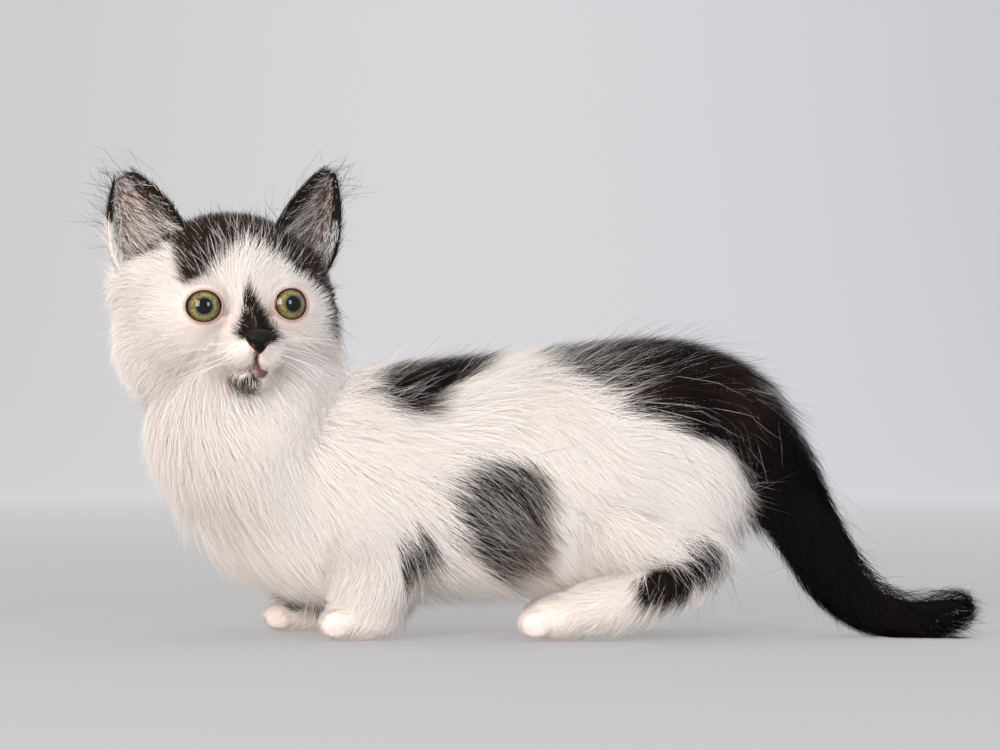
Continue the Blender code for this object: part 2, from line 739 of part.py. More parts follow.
def centre_on_floor(objects):
    """Moves everything so that the origin is on the floor, under the middle of the box."""
    corners = [v.co for obj in objects for v in obj.data.vertices]
    middle = [(min(c[i] for c in corners) + max(c[i] for c in corners)) / 2 for i in range(2)]
    for obj in objects:
        obj.data.transform(Matrix.Translation((-middle[0], -middle[1], 0)))


def main():
    random.seed(SEED)
    clear_scene()
    parts = bpy.data.collections.new("munchkin_kitten")
    work = bpy.data.collections.new("cutters")
    for collection in (parts, work):
        bpy.context.scene.collection.children.link(collection)

    body = body_core(parts, work)
    skull = grown(body, GAP, work)
    ears = [ear("ear_left", 1, skull, parts, work), ear("ear_right", -1, skull, parts, work)]
    add_locks(body, work)
    nose = carve_face(body, work, parts)
    eyes = [eye("eye_left", 1, parts), eye("eye_right", -1, parts)]

    legs = split_legs(body, parts, work)
    tail = split_tail(body, parts, work)
    jaw = head_matrix() @ Vector(JAW_CUT[0])
    down = head_matrix().to_3x3() @ Vector(JAW_CUT[1])
    head = split_by_plane(body, "head", jaw, down, parts, work, HEAD_REACH)
    neck = split_by_plane(body, "neck", *NECK_CUT, parts, work)
    body.name = "torso"
    keep_largest(body)

    white = material("white_coat", (0.86, 0.83, 0.79), 0.85)
    black = material("black_coat", (0.02, 0.017, 0.015), 0.7)
    leather = material("nose_leather", (0.03, 0.022, 0.02), 0.4)
    iris = material("eye", (0.42, 0.38, 0.12), 0.1)
    finishes = [(body, white), (head, white), (neck, white), (nose, leather)]
    finishes += [(leg, white) for leg in legs] + [(length, black) for length in tail]
    finishes += [(obj, black) for obj in ears] + [(obj, iris) for obj in eyes]
    objects = [obj for obj, _ in finishes]
    flat_soles(objects, work)
    for obj in objects:
        keep_largest(obj)
        merge_flat_faces(obj)
    centre_on_floor(objects)
    for obj, finish in finishes:
        obj.data.materials.clear()
        obj.data.materials.append(finish)
        obj.data.shade_smooth()
    for cutter in list(work.objects):
        bpy.data.objects.remove(cutter)


main()
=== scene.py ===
# %% [markdown]
# A munchkin kitten, life size: a long low body on short legs, with a soft half-long coat of
# white and black.
#
# An animal like this is made from the inside out. First comes one skin, which lies under the
# coat. Then thousands of thin locks of hair grow from it. Eyes, lids, nose and whiskers come
# last. Sizes here are in millimetres, in the kitten's own frame: it faces -X, its left side is
# towards -Y, and z = 0 is the floor. A single shift takes them to the frame's place, in metres.

# %% Load the frame
import math

import bpy
import numpy as np
from mathutils import Matrix


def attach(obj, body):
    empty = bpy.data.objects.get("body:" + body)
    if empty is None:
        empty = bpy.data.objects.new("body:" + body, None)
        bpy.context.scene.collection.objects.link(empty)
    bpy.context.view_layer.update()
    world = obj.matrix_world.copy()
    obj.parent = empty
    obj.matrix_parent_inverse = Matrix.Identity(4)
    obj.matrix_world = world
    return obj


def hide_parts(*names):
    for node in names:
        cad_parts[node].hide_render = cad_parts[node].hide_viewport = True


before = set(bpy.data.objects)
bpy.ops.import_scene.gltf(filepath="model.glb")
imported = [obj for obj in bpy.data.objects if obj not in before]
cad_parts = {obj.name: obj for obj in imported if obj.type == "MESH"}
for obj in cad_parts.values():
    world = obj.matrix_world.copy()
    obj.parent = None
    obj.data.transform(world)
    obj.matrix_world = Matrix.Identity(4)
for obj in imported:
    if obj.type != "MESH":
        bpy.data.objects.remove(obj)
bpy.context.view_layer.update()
MM = 0.001
UP = np.array([0.0, 0.0, 1.0])
chance = np.random.default_rng(5)
print("frame:", len(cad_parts), "nodes")

# %% [markdown]
# The head has a frame of its own, because it is turned and leans a little: x runs to the
# kitten's left, y backwards and z up, all from the middle of the skull. Whatever belongs to the
# face is given there and then turned with the head.

# %% The head's own frame
HEAD_PLACE = np.array([-106.7, -13, 127.4])
HEAD_TURN = 20.7
HEAD_LEAN = -2.6


def turned(axis, degrees):
    """Matrix that turns points about one axis."""
    return np.array(Matrix.Rotation(math.radians(degrees), 3, axis))


HEAD_AXES = turned("Z", HEAD_TURN) @ turned("Y", HEAD_LEAN)


def from_head(points):
    return np.asarray(points, float) @ HEAD_AXES.T + HEAD_PLACE


def to_head(points):
    return (points - HEAD_PLACE) @ HEAD_AXES


def unit(vectors):
    """Each vector divided by its own length."""
    return vectors / np.maximum(np.linalg.norm(vectors, axis=-1, keepdims=True), 1e-9)


def ramp(x, start, end):
    """0 at start, 1 at end, straight between them and level outside."""
    return np.clip((x - start) / (end - start), 0, 1)


# %% [markdown]
# The frame was centred after it was drawn, so its numbers differ from the ones here by a shift.
# The eyeballs tell it: the back of each is a true ball, and the ball that fits it best has its
# centre where the head's frame puts the eye.

# %% Find the shift from the eyeballs
EYE_PLACE = np.array([16.2, -22.8, 2])
EYE_RADIUS = 8.3
EYE_SPLAY = 10
SIDES = {"left": 1, "right": -1}


def corners_of(obj):
    co = np.empty(len(obj.data.vertices) * 3, np.float32)
    obj.data.vertices.foreach_get("co", co)
    return co.reshape(-1, 3).astype(float)


def ball_centre(points):
    """Least squares: |p|² = 2 c·p + k is linear in the centre c and the number k."""
    rows = np.c_[2 * points, np.ones(len(points))]
    return np.linalg.lstsq(rows, (points**2).sum(1), rcond=None)[0][:3]


def eye_axes(side):
    """Axes of an eye as columns: x to the kitten's left, y away from the gaze, z up."""
    return HEAD_AXES @ turned("Z", EYE_SPLAY * side)


def find_shift():
    shifts = []
    for word, side in SIDES.items():
        points = corners_of(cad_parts["eye_" + word]) / MM
        behind = (points - points.mean(0)) @ eye_axes(side)[:, 1] > 0
        shifts.append(ball_centre(points[behind]) - from_head(EYE_PLACE * (side, 1, 1)))
    return np.mean(shifts, axis=0)


SHIFT = find_shift()
print("shift in mm:", SHIFT.round(2))

# %% [markdown]
# Nearly every piece is a grid of points that is computed in one go and closed with triangles.
# A grid whose last column joins its first is a tube, and a fan of triangles closes each end.

# %% Helpers for meshes


def closed_grid(grid):
    """Points and triangles of a tube of rings with a fan at each end, all facing out."""
    rows, columns = grid.shape[:2]
    points = np.vstack([grid.reshape(-1, 3), grid[0].mean(0), grid[-1].mean(0)])
    i = np.arange(rows - 1)[:, None] * columns
    j = np.arange(columns)[None, :]
    k = (j + 1) % columns
    first = np.stack([i + j, i + k, i + k + columns], -1).reshape(-1, 3)
    second = np.stack([i + j, i + k + columns, i + j + columns], -1).reshape(-1, 3)
    j, k, last = j[0], k[0], (rows - 1) * columns
    start = np.stack([k, j, np.full(columns, rows * columns)], -1)
    end = np.stack([last + j, last + k, np.full(columns, rows * columns + 1)], -1)
    faces = np.vstack([first, second, start, end])
    a, b, c = (points[faces[:, n]] for n in range(3))
    if (np.cross(a, b) * c).sum() < 0:
        faces = faces[:, ::-1]
    return points, faces


def piece(name, points, faces):
    """A smooth-shaded mesh object from points in mm and triangles."""
    mesh = bpy.data.meshes.new(name)
    mesh.vertices.add(len(points))
    mesh.vertices.foreach_set("co", ((points + SHIFT) * MM).astype(np.float32).ravel())
    mesh.loops.add(faces.size)
    mesh.loops.foreach_set("vertex_index", faces.astype(np.int32).ravel())
    mesh.polygons.add(len(faces))
    mesh.polygons.foreach_set("loop_start", np.arange(len(faces), dtype=np.int32) * 3)
    mesh.update(calc_edges=True)
    mesh.shade_smooth()
    obj = bpy.data.objects.new(name, mesh)
    bpy.context.scene.collection.objects.link(obj)
    return obj


def joined(shapes):
    """Several (points, faces) as one."""
    starts = np.cumsum([0] + [len(points) for points, _ in shapes[:-1]])
    faces = [faces + start for (_, faces), start in zip(shapes, starts)]
    return np.vstack([points for points, _ in shapes]), np.vstack(faces)


def settled(obj):
    """Applies the object's modifiers."""
    graph = bpy.context.evaluated_depsgraph_get()
    mesh = bpy.data.meshes.new_from_object(obj.evaluated_get(graph))
    obj.modifiers.clear()
    old, obj.data = obj.data, mesh
    bpy.data.meshes.remove(old)
    return obj


def finished(obj, material, slot, *nodes):
    """The piece takes its material, rides on the one body, and stands for these nodes."""
    obj.data.materials.clear()
    obj.data.materials.append(material)
    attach(obj, "root")
    if nodes:
        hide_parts(*nodes)
    return obj


# %% [markdown]
# The body is a few tubes. Each row of a table is one section of the coat's outline: x, y, z of
# its centre, half-width and half-height. The skin is the same tube with the depth of the coat
# taken off, so the hair that grows from it reaches the true outline again.

# %% Tubes of the body
TORSO = [
    (-115, 0, 62, 20, 22),
    (-105, 0, 61, 31, 34),
    (-88, 0, 60, 38, 43),
    (-66, 0, 61, 41, 46),
    (-38, 0, 62, 42, 47),
    (-10, 0, 63.5, 43, 47.5),
    (18, 0, 66, 43, 48),
    (44, 0, 70, 42, 48),
    (68, 0, 77, 38, 43),
    (86, 0, 81, 30, 34),
    (97, 0, 80, 22, 25),
]
NECK = [
    (-87, 0, 64, 38, 38),
    (-97, -2, 82, 39, 41),
    (-103, -6, 99, 39, 40),
    (-106, -10, 114, 36, 37),
]
TAIL = [
    (92, 0, 82, 20, 26),
    (104, 0, 69, 18, 23),
    (116, -1, 54, 16, 20),
    (125, -3, 39, 14, 17.5),
    (134, -5, 26, 12.5, 15),
    (145, -8, 16, 11.5, 13.5),
    (159, -11, 11.5, 11, 12),
    (174, -13, 12.5, 10, 11),
    (185, -14, 14.5, 7, 7.5),
]
FORE_LEG = [
    (-45, -20, 52, 14, 21),
    (-47, -21, 34, 13, 18),
    (-50, -22, 20, 12.5, 16.5),
    (-52, -22, 9, 12, 15),
]
SHANK = [(46, -26, 44, 14, 15), (64, -27, 38, 12, 13), (79, -27, 33, 10, 10.5)]
HIND_FOOT = [
    (80, -27, 32, 9.5, 10),
    (66, -27, 24, 11, 11.5),
    (50, -27, 16.5, 12, 12),
    (33, -27, 11, 12.5, 10.5),
]
# The rest are balls: centre and radii. The left legs are given, and mirrored for the right ones.
THIGH = ((61, -21, 66), (30, 20, 36))
FORE_PAW = ((-53, -22, 8), (17, 13, 10))
HIND_PAW = ((22, -27, 8.5), (15, 13, 10.5))
TOE = (7, 4, 6.2)
TOE_PITCH = 6.0
TOE_INSET, TOE_ARC, TOE_DROP = 5, 1.3, 1.5  # toes lie inside the paw's front, on an arc, and low
FORE_STEP = -26  # the right forefoot stands this far ahead of the left one
HIND_STEP = 3
# Depth of the coat over the skin.
DEPTHS = {"torso": 10.5, "neck": 11, "tail": 8.5, "fore_leg": 3.5, "shank": 3.5, "hind_foot": 2.5,
          "thigh": 8, "paw": 3, "toe": 0.9}
TAIL_BONE_END = 0.93  # the skin of the tail ends here, and hair makes the rest of its length


def along(rows, t):
    """Rows at each t from 0 to 1, on a smooth curve through all of them (Catmull-Rom)."""
    table = np.asarray(rows, float)
    last = len(table) - 1
    i = np.minimum((t * last).astype(int), last - 1)
    u = (t * last - i)[:, None]
    p, q, r, s = (table[np.clip(i + k, 0, last)] for k in (-1, 0, 1, 2))
    return q + 0.5 * u * (r - p + u * (2 * p - 5 * q + 4 * r - s + u * (3 * (q - r) + s - p)))


def axes_along(rows, t):
    """Tangent, side and up of the tube at each t. The side is level across the kitten."""
    step = 0.01
    tangent = unit((along(rows, np.minimum(t + step, 1)) - along(rows, np.maximum(t - step, 0)))[:, :3])
    side = unit(np.array([0, 1, 0]) - tangent * tangent[:, 1:2])
    return tangent, side, np.cross(side, tangent)


def tube(rows, depth, end=1.0, rings=24, around=32):
    """Ellipses along the path, with rings that shrink as cos q over each end to round it off."""
    q = np.array([0.97, 0.85, 0.6, 0.3])
    t = np.concatenate([np.zeros(4), np.linspace(0, end, rings), np.full(4, end)])
    bulge = np.concatenate([-q, np.zeros(rings), q[::-1]])
    row = along(rows, t)
    tangent, side, up = axes_along(rows, t)
    sizes = np.maximum(row[:, 3:5] - depth, 2.5)
    shrink = np.sqrt(1 - bulge**2)
    a = np.linspace(0, 2 * np.pi, around, endpoint=False)[None, :, None]
    centre = row[:, :3] + tangent * (bulge * sizes.min(1))[:, None]
    wide, high = (sizes * shrink[:, None])[:, :, None].transpose(1, 0, 2)
    ring = side[:, None] * wide[:, None] * np.cos(a) + up[:, None] * high[:, None] * np.sin(a)
    return closed_grid(centre[:, None] + ring)


def ball(centre, radii, axes=None, rings=24, around=32):
    """x, y, z = radii times (cos a sin b, sin a sin b, cos b), turned by the axes."""
    b = np.linspace(0, np.pi, rings + 2)[1:-1, None]
    a = np.linspace(0, 2 * np.pi, around, endpoint=False)[None, :]
    grid = np.stack([np.cos(a) * np.sin(b), np.sin(a) * np.sin(b), np.cos(b) + 0 * a], -1) * radii
    if axes is not None:
        grid = grid @ axes.T
    return closed_grid(grid + np.asarray(centre, float))


def leg_parts():
    """For each leg its tubes and balls: name, shape table, whether it is a tube."""
    parts = []
    for side in SIDES.values():
        fore, hind = (0, 0) if side == 1 else (FORE_STEP, HIND_STEP)
        tubes = (("fore_leg", FORE_LEG, fore), ("shank", SHANK, hind), ("hind_foot", HIND_FOOT, hind))
        for name, rows, step in tubes:
            parts.append((name, [(x + step, y * side, *rest) for x, y, *rest in rows], True))
        balls = (("thigh", THIGH, hind), ("paw", FORE_PAW, fore), ("paw", HIND_PAW, hind))
        for name, (centre, radii), step in balls:
            place = np.array([centre[0] + step, centre[1] * side, centre[2]])
            parts.append((name, (place, np.array(radii, float)), False))
            if name == "thigh":
                continue
            for k in (-1.5, -0.5, 0.5, 1.5):
                toe = place + (TOE_INSET - radii[0] + TOE_ARC * abs(k), k * TOE_PITCH, -TOE_DROP)
                parts.append(("toe", (toe, np.array(TOE, float)), False))
    return parts


def body_shapes():
    shapes = [tube(TORSO, DEPTHS["torso"]), tube(NECK, DEPTHS["neck"])]
    shapes.append(tube(TAIL, DEPTHS["tail"], TAIL_BONE_END))
    for name, table, is_tube in leg_parts():
        depth = DEPTHS[name]
        shapes.append(tube(table, depth) if is_tube else ball(table[0], table[1] - depth))
    return shapes


# %% [markdown]
# The head is built as a sculptor would with clay: balls for the skull, cheeks, brows, muzzle,
# whisker pads and chin, each with its own depth of coat taken off. A ball a little larger than
# each eyeball makes the lids.

# %% Balls of the head
HEAD_FORMS = {  # centre, radii, depth of the coat
    "cranium": ((0, 4, 6), (36, 37, 33.5), 4.5),
    "temple": ((17, 2, 2), (24, 28, 27), 3.5),
    "cheek": ((23, 1, -7), (21, 23, 23), 5),
    "jaw": ((0, -4, -16), (25, 24, 16), 4),
    "ear_root": ((27, 13, 13), (14.5, 14, 15), 4.5),
    "brow": ((13, -17, 10), (12, 11, 10), 2),
    "muzzle": ((0, -22, -15), (14, 16, 12), 1.2),
    "bridge": ((0, -26, -2), (7.5, 14, 7), 1),
    "whisker_pad": ((5.6, -33, -16), (8.2, 9, 7.5), 1.7),
    "nose_bulb": ((0, -37, -11.5), (6, 7, 5), 0.6),
    "chin": ((0, -30, -24.5), (7.5, 8, 6.5), 1),
    "eye_bed": ((17.5, -13, -0.5), (19.5, 16.3, 18), 1.5),
}
BRIDGE_SLOPE = 28
LID = 1.1


def head_shapes():
    shapes = []
    for name, (centre, radii, depth) in HEAD_FORMS.items():
        axes = HEAD_AXES @ turned("X", BRIDGE_SLOPE) if name == "bridge" else HEAD_AXES
        for side in (1, -1) if centre[0] else (1,):
            place = from_head(np.array(centre) * (side, 1, 1))
            shapes.append(ball(place, np.array(radii) - depth, axes))
    for side in SIDES.values():
        shapes.append(ball(from_head(EYE_PLACE * (side, 1, 1)), np.full(3, EYE_RADIUS + LID)))
    return shapes


# %% Melt the shapes into one skin
SKIN_GRAIN = 1.25
skin = piece("skin", *joined(body_shapes() + head_shapes()))
melt = skin.modifiers.new("melt", "REMESH")
melt.mode = "VOXEL"
melt.voxel_size = SKIN_GRAIN * MM
soften = skin.modifiers.new("soften", "SMOOTH")
soften.factor = 0.5
soften.iterations = 9
settled(skin)
print("skin:", len(skin.data.polygons), "faces")

# %% [markdown]
# An ear is a cone that is cut open at the front and bowed back. Two sheets of it, a skin's
# thickness apart, close into one shell, which is joined to the skull by a union. The shell's
# faces keep a number, so later the hair knows the back of an ear from its cup.

# %% Ears
EAR_BASE = np.array([30.5, 3, 27])
EAR_TIP = np.array([41.5, 5, 59])
EAR_ACROSS = np.array([0.81, 0.3, -0.5])
EAR_TAPER, EAR_ROUND = 1.8, 0.8
EAR_SINK = 0.5  # of its height, in the skull
EAR_CUP = 15
EAR_ARC = math.radians(84)
EAR_SKIN = 1.1
EAR_COAT = 0.5
# The two ears are a little different. Their numbers go by side, 1 for left and -1 for right.
EAR_HALF_WIDTH = {1: 14.6, -1: 15.3}
EAR_TOP = {1: 0.93, -1: 0.89}
EAR_WAIST = {1: 1.6, -1: 0.6}  # how fast the base draws in
EAR_PUSH = {1: 2.0, -1: -0.8}  # how far out the ear sits
EAR_LEAN = {1: 1.2, -1: -0.9}  # and its tip, besides
EAR_HEIGHT = np.linalg.norm(EAR_TIP - EAR_BASE)
EAR_UP = unit(EAR_TIP - EAR_BASE)
EAR_ACROSS = unit(EAR_ACROSS - EAR_UP * (EAR_ACROSS @ EAR_UP))
EAR_BACK = np.cross(EAR_UP, EAR_ACROSS) * (1 if np.cross(EAR_UP, EAR_ACROSS)[1] > 0 else -1)
IS_SKIN, IS_EAR_BACK, IS_EAR_CUP = 0, 1, 2


def ear_points(side, u, v, depth):
    """The rim is a rounded triangle, half = (1 - v^1.8)^0.8, and sections are arcs bowed back.

    u runs from the inner edge, -1, to the outer edge, 1, and v from base to tip.
    """
    above = np.maximum(v, 0)
    waist = EAR_WAIST[side] * np.minimum(v - 0.1, 0) ** 2
    half = EAR_HALF_WIDTH[side] * ((1 - above**EAR_TAPER) ** EAR_ROUND - waist) + 0.8
    bow = EAR_CUP * (1 - above) ** 0.7 + 1.2
    place = EAR_BASE + EAR_UP * (v * EAR_HEIGHT)[..., None]
    place = place + np.array([1.0, 0, 0]) * (EAR_PUSH[side] + EAR_LEAN[side] * above)[..., None]
    place = place + EAR_ACROSS * ((half - depth) * np.sin(u * EAR_ARC) / math.sin(EAR_ARC))[..., None]
    place = place + EAR_BACK * ((bow - depth) * (np.cos(u * EAR_ARC) - math.cos(EAR_ARC)) - 2)[..., None]
    return from_head(place * (side, 1, 1))


def on_ear(points):
    """How far across an ear the points are, -1 to 1 from its inner to its outer rim, and how high."""
    h = to_head(points)
    local = np.c_[np.abs(h[:, 0]), h[:, 1:]] - EAR_BASE
    v = local @ EAR_UP / EAR_HEIGHT
    tables = (EAR_PUSH, EAR_LEAN, EAR_HALF_WIDTH)
    push, lean, width = (np.where(h[:, 0] > 0, table[1], table[-1]) for table in tables)
    half = width * (1 - np.clip(v, 0, 0.97) ** EAR_TAPER) ** EAR_ROUND
    across = local @ EAR_ACROSS - (push + lean * np.clip(v, 0, 1)) * EAR_ACROSS[0]
    return across / half, v


def with_kinds(obj):
    """Three empty material slots, so that faces keep their kind through a union."""
    for kind in (IS_SKIN, IS_EAR_BACK, IS_EAR_CUP):
        obj.data.materials.append(None)


def ear(name, side):
    """Each ring goes out over the back of the ear and returns inside its cup."""
    columns, rows = 24, 26
    u = np.linspace(-1, 1, columns + 1)
    u = np.concatenate([u, u[::-1]])[None, :]
    v = np.linspace(-EAR_SINK, EAR_TOP[side], rows)[:, None]
    inside = np.repeat([0, 1], columns + 1)[None, :]
    depth = EAR_COAT + EAR_SKIN * inside * (1 - 0.6 * np.maximum(v, 0))
    grid = ear_points(side, u + 0 * v, v + 0 * u, depth)
    obj = piece(name, *closed_grid(grid))
    column = np.tile(np.arange(grid.shape[1]), 2 * (rows - 1))
    kind = np.full(len(obj.data.polygons), IS_EAR_BACK, np.int32)
    kind[: len(column)] = np.where((column > columns) & (column < 2 * columns + 1), IS_EAR_CUP, IS_EAR_BACK)
    with_kinds(obj)
    obj.data.polygons.foreach_set("material_index", kind)
    return obj


def combine(obj, other, operation):
    """Joins or cuts obj with another closed mesh, which is then removed."""
    step = obj.modifiers.new(operation, "BOOLEAN")
    step.operation = operation
    step.solver = "MANIFOLD"
    step.object = other
    settled(obj)
    bpy.data.objects.remove(other)


with_kinds(skin)
for side in SIDES.values():
    combine(skin, ear("ear_form", side), "UNION")
print("skin with ears:", len(skin.data.polygons), "faces")

# %% [markdown]
# The eye sockets are cut with a ball as large as the eye. A flatter ball in front of each opens
# the lids to the oval that shows.

# %% Eye sockets
EYE_OPENING = np.array([7.35, 9, 6.3])

for side in SIDES.values():
    centre = from_head(EYE_PLACE * (side, 1, 1))
    socket = ball(centre, np.full(3, EYE_RADIUS + 0.15), rings=40, around=48)
    combine(skin, piece("socket", *socket), "DIFFERENCE")
    opening = ball(centre - eye_axes(side)[:, 1] * EYE_RADIUS, EYE_OPENING, eye_axes(side), 40, 48)
    combine(skin, piece("opening", *opening), "DIFFERENCE")
print("skin with sockets:", len(skin.data.polygons), "faces")

# %% [markdown]
# The nose leather is a small pad of its own, wide above and narrow below, with two nostrils. The
# mouth is a groove that drops from it and turns out to each side. The groove is cut along a thin
# rod that lies on the skin.

# %% Mouth
MOUTH = [(0, -17), (0, -20.5), (3, -22.6), (6, -23.3), (9, -22.6)]
GROOVE = 0.45


def on_face(x, z):
    """The point of the skin that is met when going straight back from before the face."""
    start = (from_head((x, -70, z)) + SHIFT) * MM
    _, place, _, _ = skin.ray_cast(start, HEAD_AXES[:, 1])
    return np.array(place) / MM - SHIFT


def rod(path, radii, around=8):
    """A round rod through points, its radius carried along it: centre + r(cos a, sin a) across."""
    path = np.asarray(path, float)
    tangent = unit(np.gradient(path, axis=0))
    side = unit(np.cross(tangent, tangent[0] + np.array([0.31, 0.2, 0.9])))
    across = np.cross(tangent, side)
    a = np.linspace(0, 2 * np.pi, around, endpoint=False)[None, :, None]
    r = np.broadcast_to(np.asarray(radii, float), len(path))[:, None, None]
    return closed_grid(path[:, None] + r * (np.cos(a) * side[:, None] + np.sin(a) * across[:, None]))


line = along(MOUTH, np.linspace(0, 1, 24))
mouth_line = np.array([on_face(x, z) for x, z in np.vstack([line * (-1, 1), line])])
for half in (mouth_line[:24], mouth_line[24:]):
    combine(skin, piece("groove", *rod(half, GROOVE)), "DIFFERENCE")
skin.modifiers.new("triangles", "TRIANGULATE")
settled(skin)
skin.data.shade_smooth()
print("skin with mouth:", len(skin.data.polygons), "triangles")

# %% [markdown]
# What lies where? Every point of the skin belongs mostly to one form, and near a border to two or
# more. A form is as far away as its surface is, and its say fades over a few millimetres. From
# these shares follow the coat's depth, the length of its hair, and the way the hair lies.

# %% Forms of the coat
# name: depth over the skin, length of hair, width of a hair, hairs per square millimetre
COAT = {
    "torso": (12.5, 27, 0.17, 2.0),
    "neck": (16.5, 28, 0.17, 2.3),
    "tail": (7.5, 28, 0.20, 1.9),
    "thigh": (10, 21, 0.16, 2.4),
    "fore_leg": (5, 12, 0.17, 1.9),
    "shank": (8, 17, 0.17, 1.9),
    "hind_foot": (4, 10, 0.17, 1.8),
    "paw": (1.8, 4, 0.16, 1.7),
    "toe": (0.8, 2.2, 0.15, 1.7),
    "cranium": (6.5, 10, 0.16, 2.4),
    "temple": (8, 14, 0.15, 2.3),
    "cheek": (13.5, 24, 0.15, 2.5),
    "jaw": (12.5, 22, 0.15, 2.5),
    "ear_root": (8, 15, 0.16, 2.4),
    "brow": (2.6, 6, 0.13, 3.4),
    "muzzle": (2.2, 5.5, 0.14, 3.4),
    "bridge": (1.2, 3, 0.14, 3.8),
    "whisker_pad": (1.7, 3.8, 0.14, 3.6),
    "nose_bulb": (0.7, 1.8, 0.14, 3.8),
    "chin": (1.6, 4, 0.15, 3.2),
    "eye_bed": (3.0, 8, 0.13, 3.2),
    "lid": (0.8, 2.2, 0.13, 3.6),
}
NOSE_PLACE = np.array([0, -43.2, -12.6])
LID_OVAL = (7.05, 6.2)
LID_REACH = 6.4  # mm for each 1 of the oval's ratio
BLEND = 3.2


def tube_field(points, rows, depth, end=1.0):
    """Distance to the tube's surface and the tangent beside it, from its nearest section."""
    t = np.linspace(0, end, 48)
    row, (tangent, side, up) = along(rows, t), axes_along(rows, t)
    sizes = np.maximum(row[:, 3:5] - depth, 2.5)
    away = points[:, None] - row[None, :, :3]
    i = (away**2).sum(2).argmin(1)
    away = away[np.arange(len(points)), i]
    parts = [(away * axis[i]).sum(1) for axis in (side, up, tangent)]
    sizes = np.c_[sizes[i], sizes[i].min(1)]
    ratio = np.sqrt(((np.stack(parts, 1) / sizes) ** 2).sum(1))
    return (1 - 1 / np.maximum(ratio, 0.05)) * np.linalg.norm(away, axis=1), tangent[i]


def ball_distance(points, centre, radii, axes=None):
    away = points - centre
    local = away if axes is None else away @ axes
    ratio = np.sqrt(((local / radii) ** 2).sum(1))
    return (1 - 1 / np.maximum(ratio, 0.05)) * np.linalg.norm(away, axis=1)


def radiating(points):
    """On the head the hair runs away from the nose, and on the cheeks it also sinks a little."""
    h = to_head(points)
    way = unit(h - NOSE_PLACE * (0, 0.93, 1))
    way[:, 2] -= 0.9 * ramp(h[:, 2], -2, -18) * np.maximum(ramp(h[:, 1], -30, -18), 0.25)
    return unit(way) @ HEAD_AXES.T


def fields(points):
    """For each point the distance, the lie and the coat's row of every form."""
    found = []
    for name, rows in (("torso", TORSO), ("neck", NECK), ("tail", TAIL)):
        end = TAIL_BONE_END if name == "tail" else 1.0
        away, tangent = tube_field(points, rows, DEPTHS[name], end)
        if name == "neck":
            tangent = unit(np.array([0.45, 0, 0]) - tangent)
        found.append((away, tangent, COAT[name]))
    for name, table, is_tube in leg_parts():
        if is_tube:
            away, tangent = tube_field(points, table, DEPTHS[name])
        else:
            away = ball_distance(points, table[0], table[1] - DEPTHS[name])
            tangent = unit(np.array([0.8, 0, -0.6] if name == "thigh" else [-1.0, 0, -0.3])) + 0 * points
        found.append((away, tangent, COAT[name]))
    outward = radiating(points)
    for name, (centre, radii, depth) in HEAD_FORMS.items():
        axes = HEAD_AXES @ turned("X", BRIDGE_SLOPE) if name == "bridge" else HEAD_AXES
        for side in (1, -1) if centre[0] else (1,):
            place = from_head(np.array(centre) * (side, 1, 1))
            found.append((ball_distance(points, place, np.array(radii) - depth, axes), outward, COAT[name]))
    for side in SIDES.values():
        place = from_head(EYE_PLACE * (side, 1, 1))
        found.append((ball_distance(points, place, np.full(3, EYE_RADIUS + LID)), outward, COAT["lid"]))
    return found


def lid_edge(points):
    """Millimetres outside the oval opening of the nearer eye, less than 0 within it."""
    away = np.full(len(points), 99.0)
    for side in SIDES.values():
        local = (points - from_head(EYE_PLACE * (side, 1, 1))) @ eye_axes(side)
        ratio = np.hypot(local[:, 0] / LID_OVAL[0], local[:, 2] / LID_OVAL[1])
        edge = (ratio - 1) * LID_REACH
        before = (local[:, 1] < 0) & (np.linalg.norm(local, axis=1) < 14)
        away = np.where(before, np.minimum(away, edge), away)
    return away


